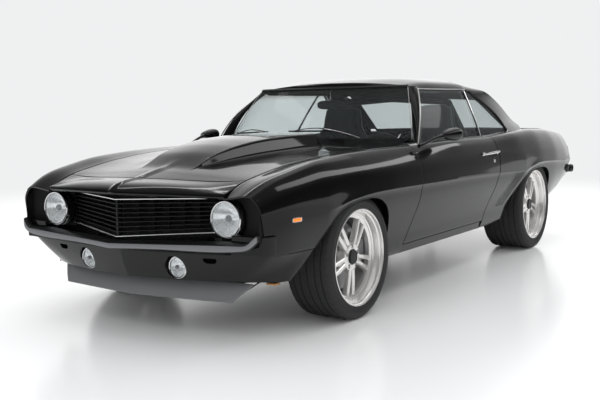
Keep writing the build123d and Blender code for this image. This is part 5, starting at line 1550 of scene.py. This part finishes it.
# ------------------------------------------------------------------ wipers
wp = []
for (pv, mid, b0, b1) in (((430, 792, 917), (77, 884, 984), (-155, 868, 966), (258, 876, 968)), ((-235, 775, 917), (-470, 902, 976), (-640, 930, 952), (-330, 876, 962))):
    pv, mid, b0, b1 = (np.array(v, float) for v in (pv, mid, b0, b1))
    k1 = pv + (mid - pv) * 0.3 + np.array([0, -4, 14.0])
    path = smooth_path([pv + [0, 0, 6], k1, mid + [0, -2, 2]], 24)
    wp.append(tube("arm", P(path[:, 0], path[:, 1], path[:, 2]), np.interp(np.linspace(0, 1, 24), [0, 0.3, 1], [0.0075, 0.0055, 0.0035]), CHROME, 10))
    wp.append(tube("pivot", P(*np.array([pv + [0, 4, -26], pv + [0, 0, 10]]).T), 0.012, CHROME, 16))
    c_ = (b0 + b1) / 2
    for f0, f1 in ((0.04, 0.96),):
        bl = np.array([b0 + (b1 - b0) * t for t in np.linspace(0, 1, 20)])
        wp.append(line_sweep("blade", P(bl[:, 0], bl[:, 1] - 3, bl[:, 2] + 2), 5, 12, BLACK, 1.0, up=(0, -0.7, 0.7)))
        br = smooth_path([b0 + (b1 - b0) * 0.12 + [0, -5, 7], mid * 0.5 + c_ * 0.5 + [0, -9, 13], b0 + (b1 - b0) * 0.88 + [0, -5, 7]], 20)
        wp.append(line_sweep("bridge", P(br[:, 0], br[:, 1], br[:, 2]), 5, 4, BLACK, 1.0, up=(0, -0.7, 0.7)))
done(join("wiper_set", wp), "body", ("wipers",))

# ------------------------------------------------------------------ tail
# trunk lid with its ducktail
rows = []
xs_h = np.linspace(0, 630, 44)
SP = lambda x: np.interp(x, [0, 560, 628], [0, -4, -8])
for x in xs_h:
    s_ = np.concatenate([np.linspace(2968, 3500, 50)])
    z_ = base_z(np.full(50, x), s_) + 1.2
    k_ = SP(x)
    zt = z_[-1]
    d_ = 1.0 if x < 560 else 1 - 0.28 * ((x - 560) / 70) ** 2
    tail_ = smooth_path([(3500, zt), (3560, zt + 2.5), (3620, zt + 9 * d_), (3672, zt + 19 * d_), (3704, zt + 28 * d_ + k_ * 0.5), (3713, zt + 26 * d_ + k_ * 0.5), (3712, zt + 18 * d_), (3700, zt - 2), (3684, zt - 20), (3680, zt - 50), (3680, 792)], 44)
    p_ = np.concatenate([np.stack([s_, z_], 1), tail_[1:]])
    rows.append(P(np.full(len(p_), x), p_[:, 0], p_[:, 1]))
half = np.array(rows); left = half[1:][::-1].copy(); left[..., 0] *= -1
lid = solid_panel("trunk_lid_panel", np.concatenate([left, half]), PAINT, thick=0.010, edge=0.002, out=(0, 0.1, 1))
done(lid, "trunk_lid", ("trunk_lid",))

# tail lamps: bezel, ribbed red lenses in four parts with bars between, and a back
tl = []
for sx in (1, -1):
    x0, x1, z0, z1 = 372, 748, 620, 716
    bez = np.array([(x0, z0), (x1, z0), (x1, z1), (x0, z1)], float)
    lp = ring_curve([(x0 - 4, z0 - 4), (x1 + 4, z0 - 4), (x1 + 4, z1 + 4), (x0 - 4, z1 + 4)], 60, 4)
    pth = P(sx * lp[:, 0], np.full(60, 3718), lp[:, 1])
    tl.append(tube("bezel", pth, 0.0055, CHROME, 10, False, True))
    n_ = 4
    for k in range(n_):
        a0 = x0 + 5 + (x1 - x0 - 10) * k / n_ + 3; a1 = x0 + 5 + (x1 - x0 - 10) * (k + 1) / n_ - 3
        xx = np.linspace(a0, a1, 25); zz = np.linspace(z0 + 6, z1 - 6, 19)
        XX, ZZ = np.meshgrid(xx, zz, indexing="ij")
        ed = (1 - ((XX - (a0 + a1) / 2) / ((a1 - a0) / 2)) ** 8) * (1 - ((ZZ - 668) / 42) ** 8)
        SS = 3708 + 11 * ed + 1.2 * np.cos((ZZ - z0) * 2 * math.pi / 14) * ed
        tl.append(sheet("lens", P(sx * XX, SS, ZZ), RED, thick=0.006, edge=0, out=(0, 1, 0)))
        if k:
            tl.append(box_object("bar", sx * (a0 - 5), sx * (a0 - 1), 3704, 3722, z0 + 2, z1 - 2, CHROME, 1.2))
    tl.append(box_object("back", sx * x0, sx * x1, 3694, 3704, z0, z1, MATTE, 2))
done(join("tail_lamp_set", tl), "body", ("tail_lights",))

rb = sym_sweep("rear_bumper_blade", [
    (0, [(3717, 520), (3717, 600), (3744, 604), (3765, 596), (3772, 570), (3767, 536), (3746, 520)]),
    (400, [(3717, 520), (3717, 600), (3744, 604), (3763, 596), (3770, 570), (3765, 536), (3744, 520)]),
    (700, [(3712, 522), (3712, 602), (3738, 606), (3757, 598), (3764, 572), (3758, 538), (3738, 522)]),
    (820, [(3700, 526), (3700, 604), (3722, 607), (3740, 600), (3747, 574), (3742, 540), (3722, 526)]),
    (868, [(3690, 538), (3690, 596), (3704, 600), (3716, 594), (3720, 572), (3716, 548), (3704, 538)]),
], GREY, 90, 3.0)
done(rb, "body", ("rear_bumper",))
bits = []
for sx in (1, -1):
    bits.append(tube("knob", P(np.array([sx * 858, sx * 872, sx * 886, sx * 892]), np.array([3700, 3722, 3732, 3734]), np.array([568, 568, 567, 567])), [0.030, 0.034, 0.030, 0.012], BLACK, 24))
    for x_ in (300, 640):
        bits.append(box_object("iron", sx * (x_ - 20), sx * (x_ + 20), 3700, 3722, 540, 584, UNDER, 3))
    bits.append(turned("tip", [(30, 60), (30, 0), (33, -3), (36, -2), (36, 60)], sx * 470, 3690, 286, STEEL, 40))
done(join("rear_bumper_irons", bits), "body")

# ------------------------------------------------------------------ doors, inner side
for sx, side in ((1, "left"), (-1, "right")):
    pts, s_g, t_g = shell_panel("door_in", lambda z: door_front_s(z) + 5, lambda z: door_rear_s(z) - GAP - 5, lambda s: t_at_z(s, 328.0 + 0 * s), lambda s: 0 * s + 3.36, 60, 22)
    O = pts.copy(); O[..., 0] -= 0.0145
    I = pts.copy(); I[..., 0] = np.minimum(0.784 + 0.012 * np.clip((pts[..., 2] - 0.52) / 0.3, 0, 1), O[..., 0] - 0.010)
    nu, nv = O.shape[:2]
    verts_ = np.concatenate([O.reshape(-1, 3), I.reshape(-1, 3)])
    f1 = grid_faces(nu, nv); off_ = nu * nv
    f2 = [tuple(i + off_ for i in f)[::-1] for f in f1]
    loop = [i * nv for i in range(nu)] + [(nu - 1) * nv + j for j in range(1, nv)] + [i * nv + nv - 1 for i in range(nu - 2, -1, -1)] + [j for j in range(nv - 2, 0, -1)]
    f3 = [(a_, b_, b_ + off_, a_ + off_) for a_, b_ in zip(loop, loop[1:] + loop[:1])]
    core = new_object("core", verts_, f1 + f2 + f3, PAINT, 40)
    fix_normals(core)
    bm_ = core.modifiers.new("b", "BEVEL"); bm_.width = 0.003; bm_.segments = 2; bm_.limit_method = "ANGLE"; bm_.angle_limit = math.radians(50)
    bake(core, 40)
    # moulded trim panel, armrest, pull and winder
    trim_ = []
    ss = np.linspace(0, 1, 34); zz = np.linspace(352, 850, 26)
    grid = []
    for z in zz:
        a0, a1 = float(door_front_s(z)) + 34, float(door_rear_s(z)) - GAP - 34
        a0 = max(a0, 690)
        s_ = a0 + (a1 - a0) * ss
        edge_ = (1 - (2 * ss - 1) ** 12) * (1 - ((z - 601) / 252) ** 12)
        x_ = 786 - 9 * edge_ + 7 * np.clip((z - 700) / 150, 0, 1) - 3.5 * np.exp(-((z - 600) / 14) ** 2)
        grid.append(P(x_, s_, np.full(34, z)))
    trim_.append(sheet("trim", np.array(grid), CABIN, thick=0.005, edge=0.001, out=(-1, 0, 0)))
    rings = []
    for q in np.linspace(0, 1, 24):
        s_ = 1180 + 470 * q
        w = 26 + 16 * math.sin(math.pi * min(1, q * 1.15)) ** 0.5 if 0 < q < 1 else 20
        a = np.linspace(0, 2 * math.pi, 20, endpoint=False)
        e = min(1.0, (min(q, 1 - q) / 0.05)) ** 0.5
        e = max(e, 0.3)
        rings.append(P(776 - w * 0.5 + w * e * np.sign(np.cos(a)) * np.abs(np.cos(a)) ** 0.6, np.full(20, s_), 618 + 12 * q + 22 * e * np.sign(np.sin(a)) * np.abs(np.sin(a)) ** 0.6))
    trim_.append(loft_object("arm", rings, LEATHER, True, True, 50))
    pth = smooth_path([(776, 880, 640), (752, 884, 640), (748, 900, 640), (748, 990, 648), (752, 1006, 650), (776, 1010, 650)], 26)
    trim_.append(tube("pull", P(pth[:, 0], pth[:, 1], pth[:, 2]), 0.007, CHROME, 12))
    wd = smooth_path([(776, 1080, 520), (758, 1080, 520), (752, 1092, 524), (750, 1180, 560)], 20)
    trim_.append(tube("winder", P(wd[:, 0], wd[:, 1], wd[:, 2]), 0.006, CHROME, 12))
    trim_.append(tube("knob", P(np.array([752, 722]), np.array([1180, 1180]), np.array([560, 560])), [0.013, 0.011], BLACK, 16))
    spk = turned("spk", [(70, 6), (66, 2), (62, 3), (40, 5), (10, 3), (0.1, 3)], 0, 0, 0, MATTE, 40)
    spk.data.transform(Matrix.Rotation(math.radians(90), 4, "Z") @ Matrix.Translation((0, -Y_AXLE, 0)))
    spk.data.transform(Matrix.Translation((0.776, 0.86 + Y_AXLE, 0.47)))
    trim_.append(spk)
    ob = join("trim", trim_)
    flip_side(core, sx); flip_side(ob, sx)
    core.name = f"door_inner_{side}"; ob.name = f"door_trim_{side}"
    done(core, f"{side}_door", (f"{side}_door",)); done(ob, f"{side}_door")

# ------------------------------------------------------------------ dashboard and wheel
D = lambda ds: [(824 + ds, 872), (880 + ds, 893), (960 + ds * 0.6, 888), (1012 + ds * 0.4, 872), (1034 + ds * 0.3, 846), (1026 + ds * 0.3, 806), (1040 + ds * 0.3, 760), (1034 + ds * 0.3, 700), (1000 + ds * 0.3, 640), (920 + ds * 0.5, 610), (850 + ds, 640), (824 + ds, 760)]
dash = sym_sweep("dash", [(0, D(0)), (250, D(12)), (500, D(42)), (660, D(84)), (708, [(a_, z_ - 6) for a_, z_ in D(100)])], CABIN, 70, 6.0)
bits = [dash]
rings = []
for q in np.linspace(0, 1, 14):
    w = 176 * (1 - 0.10 * (1 - q)); s_ = 985 + 92 * q
    a = np.linspace(0, 2 * math.pi, 36, endpoint=False)
    rings.append(P(370 + w * np.sign(np.cos(a)) * np.abs(np.cos(a)) ** 0.5, np.full(36, s_), 818 + (40 + 24 * q ** 0.5) * np.sign(np.sin(a)) * np.abs(np.sin(a)) ** 0.6))
bits.append(loft_object("binnacle", rings, CABIN, True, True, 45, 4))
for x_ in (295, 445):
    dial = turned("dial", [(0.1, -1), (50, -1), (51, -3), (55, -5), (58, -4), (59, 2)], 0, 0, 0, BLACK, 48)
    ringo = turned("ring", [(50, 0), (52, -4), (56, -6), (59, -4), (60, 2)], 0, 0, 0, CHROME, 48)
    for o in (dial, ringo):
        o.data.transform(Matrix.Translation((0, -Y_AXLE, 0)))
        o.data.transform(Matrix.Rotation(math.pi, 4, "Z"))
        o.data.transform(Matrix.Translation((x_ / 1000, 1.078 + Y_AXLE, 0.82)))
        bits.append(o)
for x_ in (-420, 0):
    for dz in (0, 18, 36):
        bits.append(box_object("vent", x_ - 70, x_ + 70, 1024, 1040, 775 + dz, 787 + dz, BLACK, 3))
bits.append(box_object("console", -95, 95, 985, 1290, 290, 430, CABIN, 18))
bits.append(box_object("stack", -90, 90, 1000, 1046, 420, 700, CABIN, 12))
for dz in (480, 540, 600):
    bits.append(box_object("radio", -72, 72, 1040, 1050, dz, dz + 44, BLACK, 4))
bits.append(tube("shift", P(np.array([0, 0, 5]), np.array([1180, 1190, 1215]), np.array([430, 520, 600])), 0.007, CHROME, 12))
bits.append(turned("shiftknob", [(0.1, -24), (14, -20), (22, -8), (24, 2), (20, 16), (10, 22), (0.1, 23)], 5, 1216, 614, BLACK, 32))
done(join("dashboard_trim", bits), "body", ("dashboard",))
C_ = np.array([0.370, 1.240 + Y_AXLE, 0.790]); t24 = math.radians(24)
e1 = np.array([1.0, 0, 0]); e2 = np.array([0, -math.sin(t24), math.cos(t24)]); e3 = np.array([0, math.cos(t24), math.sin(t24)])
a = np.linspace(0, 2 * math.pi, 72, endpoint=False)
st = [tube("rim", C_ + 0.166 * (np.cos(a)[:, None] * e1 + np.sin(a)[:, None] * e2), 0.0135, LEATHER, 16, False, True)]
for A in (0.12, math.pi - 0.12, -math.pi / 2):
    d_ = math.cos(A) * e1 + math.sin(A) * e2; sd = np.cross(e3, d_)
    rings = []
    for r_, w_s, dp in ((0.034, 0.017, -0.030), (0.07, 0.013, -0.022), (0.12, 0.011, -0.008), (0.162, 0.013, 0.0)):
        c = C_ + d_ * r_ + e3 * dp
        rings.append([c - sd * w_s - e3 * 0.0025, c + sd * w_s - e3 * 0.0025, c + sd * w_s + e3 * 0.0025, c - sd * w_s + e3 * 0.0025])
    st.append(loft_object("spoke", rings, ALLOY_SATIN, True, True, 35, 1.0))
st.append(tube("hub", [C_ - e3 * 0.060, C_ - e3 * 0.024, C_ - e3 * 0.012, C_ - e3 * 0.008], [0.040, 0.044, 0.036, 0.012], BLACK, 32))
st.append(tube("column", [C_ - e3 * 0.05, C_ + np.array([0, -0.165, -0.074])], 0.026, BLACK, 24))
for sgn in (1, -1):
    st.append(tube("stalk", [C_ - e3 * 0.07 + e1 * 0.02 * sgn, C_ - e3 * 0.075 + e1 * 0.15 * sgn + e2 * 0.03], [0.006, 0.0045], BLACK, 10))
done(join("steering_wheel_assembly", st), "body", ("steering_wheel",))

# ------------------------------------------------------------------ seats


def seat_back(x0, grow=0.0, back_only=False):
    Zs = np.array([400, 430, 480, 560, 660, 760, 830, 880, 930, 980, 1040, 1090, 1118, 1132], float)
    Ws = np.array([170, 215, 236, 246, 256, 264, 262, 236, 186, 156, 150, 142, 118, 60], float)
    Dp = np.array([40, 52, 56, 56, 56, 56, 54, 50, 46, 44, 42, 40, 30, 14], float)
    Bo = np.array([20, 50, 78, 84, 80, 76, 66, 48, 34, 30, 26, 18, 8, 0], float)
    fw_, fd_, fb_ = spline(Zs, Ws), spline(Zs, Dp), spline(Zs, Bo)
    rings = []
    a = np.linspace(0, 2 * math.pi, 56, endpoint=False)
    for z in np.concatenate([[400, 406, 416], np.linspace(430, 1090, 44), [1104, 1116, 1125, 1130, 1132]]):
        w, d, b = float(fw_(z)) + grow, float(fd_(z)), max(0.0, float(fb_(z)))
        mid = 1772 + (min(z, 960) - 440) * 0.352 + max(0, z - 960) * 0.06
        ca, sa = np.cos(a), np.sin(a)
        x = w * np.sign(ca) * np.abs(ca) ** 0.62
        s = d * np.sign(sa) * np.abs(sa) ** 0.62
        fr_ = np.clip(-sa, 0, 1) ** 0.35
        s = s - b * fr_ * np.clip((np.abs(x) / w - 0.38) / 0.5, 0, 1) ** 1.4
        # shallow quilting on the front face
        s = s + fr_ * 2.2 * np.sin(z / 15.0) ** 2 * (np.abs(x) < w * 0.5)
        rings.append(P(x0 + x, mid + s + grow * 0.9, np.full(56, z)))
    return rings


def pad(name, x0, w, s0, s1, z0, z1, dish=16, material=None, n=26):
    """Rounded cushion with a dished top."""
    rings = []
    a = np.linspace(0, 2 * math.pi, 48, endpoint=False)
    for q in np.linspace(0, 1, n):
        e = (1 - abs(2 * q - 1) ** 5) ** (1 / 2.6) if 0 < q < 1 else 0.05
        e = max(e, 0.12)
        ca, sa = np.cos(a), np.sin(a)
        x = w * (0.80 + 0.20 * e) * np.sign(ca) * np.abs(ca) ** 0.55
        hz = (z1 - z0) / 2 * e
        z = (z0 + z1) / 2 + hz * np.sign(sa) * np.abs(sa) ** 0.6
        z = z - dish * np.clip(sa, 0, 1) ** 0.4 * np.clip(1 - (np.abs(x) / (w * 0.72)) ** 3, 0, 1) * e
        rings.append(P(x0 + x, np.full(48, s0 + (s1 - s0) * q), z))
    return loft_object(name, rings, material, True, True, 50)


for x0, side in ((388, "left"), (-388, "right")):
    back = loft_object(f"seat_back_{side}", seat_back(x0), CLOTH, True, True, 60)
    for dx in (-66, 66):
        boolean(back, box_object("cut", x0 + dx - 34, x0 + dx + 34, 1800, 2060, 880, 912, None, 9), angle=50)
    done(back, "body")
    cush = pad(f"seat_cushion_{side}", x0, 232, 1300, 1800, 330, 462, 30, CLOTH)
    done(cush, "body")
    for sgn in (1, -1):
        bol = []
        pth = smooth_path([(x0 + sgn * 196, 1330, 438), (x0 + sgn * 206, 1420, 460), (x0 + sgn * 208, 1560, 468), (x0 + sgn * 206, 1700, 462), (x0 + sgn * 200, 1775, 440)], 34)
        b = tube("bol", P(pth[:, 0], pth[:, 1], pth[:, 2]), np.interp(np.linspace(0, 1, 34), [0, 0.06, 0.2, 0.8, 0.94, 1], [0.010, 0.026, 0.036, 0.038, 0.03, 0.012]), LEATHER, 20)
        b.name = f"seat_bolster_{side}_{'outer' if sgn * x0 > 0 else 'inner'}"
        done(b, "body")
    sh = []
    shell_rings = [r for r in seat_back(x0, 7.0)]
    sh_o = loft_object("shell", shell_rings, BLACK, True, True, 60)
    # keep only the rear half of the shell
    boolean(sh_o, prism_object("cut", [(1200, 380), (1742, 380), (1775, 440), (1925, 860), (1962, 960), (1970, 1150), (1200, 1150)], x0 - 330, x0 + 330, "side"), angle=50)
    sh.append(sh_o)
    for dx in (-66, 66):
        boolean(sh_o, box_object("cut", x0 + dx - 38, x0 + dx + 38, 1800, 2080, 876, 916, None, 9), angle=50)
    sh.append(pad("tub", x0, 238, 1296, 1806, 318, 400, 0, BLACK))
    for dx in (-170, 170):
        sh.append(box_object("rail", x0 + dx - 16, x0 + dx + 16, 1330, 1770, 276, 302, CAST, 4))
        for s_ in (1370, 1720):
            sh.append(box_object("foot", x0 + dx - 12, x0 + dx + 12, s_ - 22, s_ + 22, 298, 330, UNDER, 4))
    done(join(f"seat_shell_{side}", sh, 50), "body")
    # harness: two shoulder straps through the slots, lap straps and a buckle
    hn = []
    for dx in (-66, 66):
        pth = smooth_path([(x0 + dx * 0.9, 2036, 905), (x0 + dx, 1985, 898), (x0 + dx, 1900, 897), (x0 + dx * 0.98, 1868, 880), (x0 + dx * 0.9, 1826, 780), (x0 + dx * 0.7, 1778, 640), (x0 + dx * 0.35, 1690, 520), (x0 + dx * 0.2, 1640, 486)], 50)
        hn.append(line_sweep("strap", P(pth[:, 0], pth[:, 1], pth[:, 2]), 44, 3, CABIN, 0.8, up=(0, -0.6, 0.8)))
        pth = smooth_path([(x0 + dx * 3.3, 1790, 420), (x0 + dx * 3.0, 1740, 500), (x0 + dx * 1.6, 1665, 498), (x0 + dx * 0.3, 1636, 482)], 36)
        hn.append(line_sweep("lap", P(pth[:, 0], pth[:, 1], pth[:, 2]), 42, 3, CABIN, 0.8, up=(0, 0.3, 0.9)))
    hn.append(box_object("buckle", x0 - 26, x0 + 26, 1612, 1664, 480, 497, CHROME, 5))
    done(join(f"harness_{side}", hn), "body")
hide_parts("front_seats")

for x0, nm in ((262, "left"), (-262, "right")):
    c = pad(f"rear_cushion_{nm}", x0, 240, 2056, 2292, 425, 535, 26, LEATHER)
    done(c, "body")
    rings = []
    a = np.linspace(0, 2 * math.pi, 48, endpoint=False)
    for q in np.linspace(0, 1, 26):
        e = max(0.14, (1 - abs(2 * q - 1) ** 5) ** (1 / 2.6)) if 0 < q < 1 else 0.14
        z = 470 + 330 * q; mid = 2232 + 32 * q
        ca, sa = np.cos(a), np.sin(a)
        x = 244 * (0.82 + 0.18 * e) * np.sign(ca) * np.abs(ca) ** 0.55
        s = 40 * e * np.sign(sa) * np.abs(sa) ** 0.6 + 12 * np.clip(-sa, 0, 1) ** 0.4 * np.clip(1 - (np.abs(x) / 190) ** 4, 0, 1) * e
        rings.append(P(x0 + x, mid + s, np.full(48, z)))
    b = loft_object(f"rear_backrest_{nm}", rings, LEATHER, True, True, 50)
    done(b, "body")
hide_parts("rear_seat")

# inside mirror
im = []
rings = []
for q in np.linspace(0, 1, 12):
    e = 0.88 + 0.12 * math.sin(math.pi * q) ** 0.5
    a = np.linspace(0, 2 * math.pi, 32, endpoint=False)
    rings.append(P(-20 + 112 * e * np.sign(np.cos(a)) * np.abs(np.cos(a)) ** 0.6, np.full(32, 1176 + 22 * q), 1140 + 31 * e * np.sign(np.sin(a)) * np.abs(np.sin(a)) ** 0.6))
im.append(loft_object("shell", rings, BLACK, True, True, 45, 2))
gl = [P(-20 + r * 106 * np.sign(np.cos(a)) * np.abs(np.cos(a)) ** 0.6, np.full(32, 1199.5), 1140 + r * 26 * np.sign(np.sin(a)) * np.abs(np.sin(a)) ** 0.6) for r in (1, 0.5, 0.02)]
im.append(loft_object("glass", gl, REFLECTOR, True, False, 50))
im.append(tube("stem", P(np.array([-20, -14, 0]), np.array([1182, 1176, 1172]), np.array([1165, 1200, 1252])), [0.006, 0.007, 0.012], CHROME, 12))
for sx in (1, -1):
    im.append(box_object("visor", sx * 90, sx * 480, 1186, 1330, 1240, 1252, CABIN, 5))
done(join("inside_mirror", im), "body")

# ------------------------------------------------------------------ kept pieces: finish and rounded edges
CARPET = weave(principled("carpet", (0.012, 0.012, 0.012), 0.95, 0.0, Sheen_Weight=0.4), 320, 0.6, 0.002)
KEEP = {"cowl_panel": (PAINT, "body_paint", 2), "deck_panel": (PAINT, "body_paint", 2), "rear_panel": (PAINT, "body_paint", 3), "sills": (PAINT, "body_paint", 4),
        "roll_cage": (CAGE, "cage_paint", 0), "rear_shelf": (CABIN, "cabin_black", 4), "floor_pan": (UNDER, "underbody", 4), "inner_fenders": (UNDER, "underbody", 3),
        "wheelhouses": (UNDER, "underbody", 3), "front_subframe": (UNDER, "underbody", 4), "engine": (CAST, "cast_grey", 6), "radiator": (UNDER, "underbody", 3),
        "rear_axle": (UNDER, "underbody", 3), "exhaust": (STEEL, "exhaust_steel", 0), "fuel_tank": (UNDER, "underbody", 10), "left_knuckle": (CAST, "cast_grey", 3), "right_knuckle": (CAST, "cast_grey", 3)}
for name, (mt, sl, bv) in KEEP.items():
    o = NODES[name]
    o.data.materials.clear(); o.data.materials.append(mt)
    o.data.polygons.foreach_set("material_index", [0] * len(o.data.polygons))
    if bv:
        b = o.modifiers.new("edge", "BEVEL"); b.width = bv / 1000; b.segments = 2; b.limit_method = "ANGLE"; b.angle_limit = math.radians(35); b.use_clamp_overlap = True
    o.data.polygons.foreach_set("use_smooth", [True] * len(o.data.polygons))
    o.data.set_sharp_from_angle(angle=math.radians(32))

# ------------------------------------------------------------------ stage and light
world = bpy.data.worlds.new("world")
bpy.context.scene.world = world
world.use_nodes = True
wn = world.node_tree
bg = wn.nodes["Background"]
BACK = (0.865, 0.87, 0.875)


def wnode(kind, **kw):
    n = wn.nodes.new(kind)
    for k, v in kw.items():
        setattr(n, k, v)
    return n


def wmath(op, a_, b_=None, clamp=False):
    n = wnode("ShaderNodeMath", operation=op, use_clamp=clamp)
    for i, v in enumerate((a_, b_)):
        if v is None:
            continue
        if isinstance(v, (int, float)):
            n.inputs[i].default_value = v
        else:
            wn.links.new(v, n.inputs[i])
    return n.outputs["Value"]


def wramp(v, lo, hi, a_, b_):
    n = wnode("ShaderNodeMapRange", interpolation_type="SMOOTHSTEP")
    n.inputs["From Min"].default_value, n.inputs["From Max"].default_value = lo, hi
    n.inputs["To Min"].default_value, n.inputs["To Max"].default_value = a_, b_
    wn.links.new(v, n.inputs["Value"])
    return n.outputs["Result"]


tc = wnode("ShaderNodeTexCoord")
sep = wnode("ShaderNodeSeparateXYZ")
wn.links.new(tc.outputs["Generated"], sep.inputs["Vector"])
dx, dy, dz = sep.outputs["X"], sep.outputs["Y"], sep.outputs["Z"]
# toward the photographer the studio is dark; behind and above the car it is bright
toward = wmath("ADD", wmath("MULTIPLY", dx, 0.556), wmath("MULTIPLY", dy, -0.831))
side = wramp(toward, -0.97, -0.42, 1.4, 0.04)
top = wramp(dz, 0.45, 0.95, 0.0, 0.22)
low = wramp(dz, 0.10, 0.80, 1.0, 0.35)
studio = wmath("ADD", wmath("MULTIPLY", side, low), top)
lp = wnode("ShaderNodeLightPath")
even = wmath("ADD", lp.outputs["Is Camera Ray"], lp.outputs["Is Diffuse Ray"], True)
even = wmath("ADD", even, lp.outputs["Is Transmission Ray"], True)
mx = wnode("ShaderNodeMix"); mx.data_type = "RGBA"
wn.links.new(even, mx.inputs["Factor"])
comb = wnode("ShaderNodeCombineColor")
for k in ("Red", "Green", "Blue"):
    wn.links.new(studio, comb.inputs[k])
wn.links.new(comb.outputs["Color"], mx.inputs["A"])
mx.inputs["B"].default_value = (*BACK, 1)
wn.links.new(mx.outputs["Result"], bg.inputs["Color"])
wn.links.new(wmath("ADD", wmath("MULTIPLY", lp.outputs["Is Diffuse Ray"], 0.36), 1.0), bg.inputs["Strength"])

floor_mat = principled("studio_floor", (0.875, 0.875, 0.88), 0.2, 0.0, Specular_IOR_Level=0.4)
fn = floor_mat.node_tree
fb = fn.nodes["Principled BSDF"]; fo = fn.nodes["Material Output"]
fc = fn.nodes.new("ShaderNodeTexCoord"); fl_ = fn.nodes.new("ShaderNodeVectorMath"); fl_.operation = "LENGTH"
fr_ = fn.nodes.new("ShaderNodeMapRange"); fr_.interpolation_type = "SMOOTHSTEP"
fr_.inputs["From Min"].default_value, fr_.inputs["From Max"].default_value = 2.9, 9.0
fe = fn.nodes.new("ShaderNodeEmission"); fe.inputs["Color"].default_value = (*BACK, 1)
fm = fn.nodes.new("ShaderNodeMixShader")
fn.links.new(fc.outputs["Object"], fl_.inputs[0]); fn.links.new(fl_.outputs["Value"], fr_.inputs["Value"])
fn.links.new(fr_.outputs["Result"], fm.inputs["Fac"]); fn.links.new(fb.outputs["BSDF"], fm.inputs[1]); fn.links.new(fe.outputs["Emission"], fm.inputs[2])
fn.links.new(fm.outputs["Shader"], fo.inputs["Surface"])
f = 90.0
floor = new_object("studio_floor", [(-f, -f, -0.001), (f, -f, -0.001), (f, f, -0.001), (-f, f, -0.001)], [(0, 1, 2, 3)], floor_mat, None)


def area(name, loc, target, size, power, size_y=None):
    d = bpy.data.lights.new(name, "AREA")
    d.energy = power
    d.shape = "RECTANGLE"
    d.size = size
    d.size_y = size_y or size
    o = bpy.data.objects.new(name, d)
    bpy.context.scene.collection.objects.link(o)
    o.location = loc
    o.rotation_mode = "QUATERNION"
    # the lamp's long side runs along the car
    az = (Vector(loc) - Vector(target)).normalized()
    ay = (Vector((0, 1, 0)) - az * az.y).normalized()
    ax_ = ay.cross(az)
    o.rotation_quaternion = Matrix((ax_, ay, az)).transposed().to_quaternion()
    return o


area("overhead", (0.0, 0.6, 4.6), (0.0, 0.4, 0), 2.2, 22, 6.5)
area("strip", (2.3, 1.9, 3.2), (0.6, 1.4, 0.8), 0.6, 30, 5.8)
area("far_strip", (-2.4, 0.4, 4.0), (-0.4, -0.2, 0.8), 0.25, 14, 5.2)
bpy.context.scene.view_settings.view_transform = "Standard"
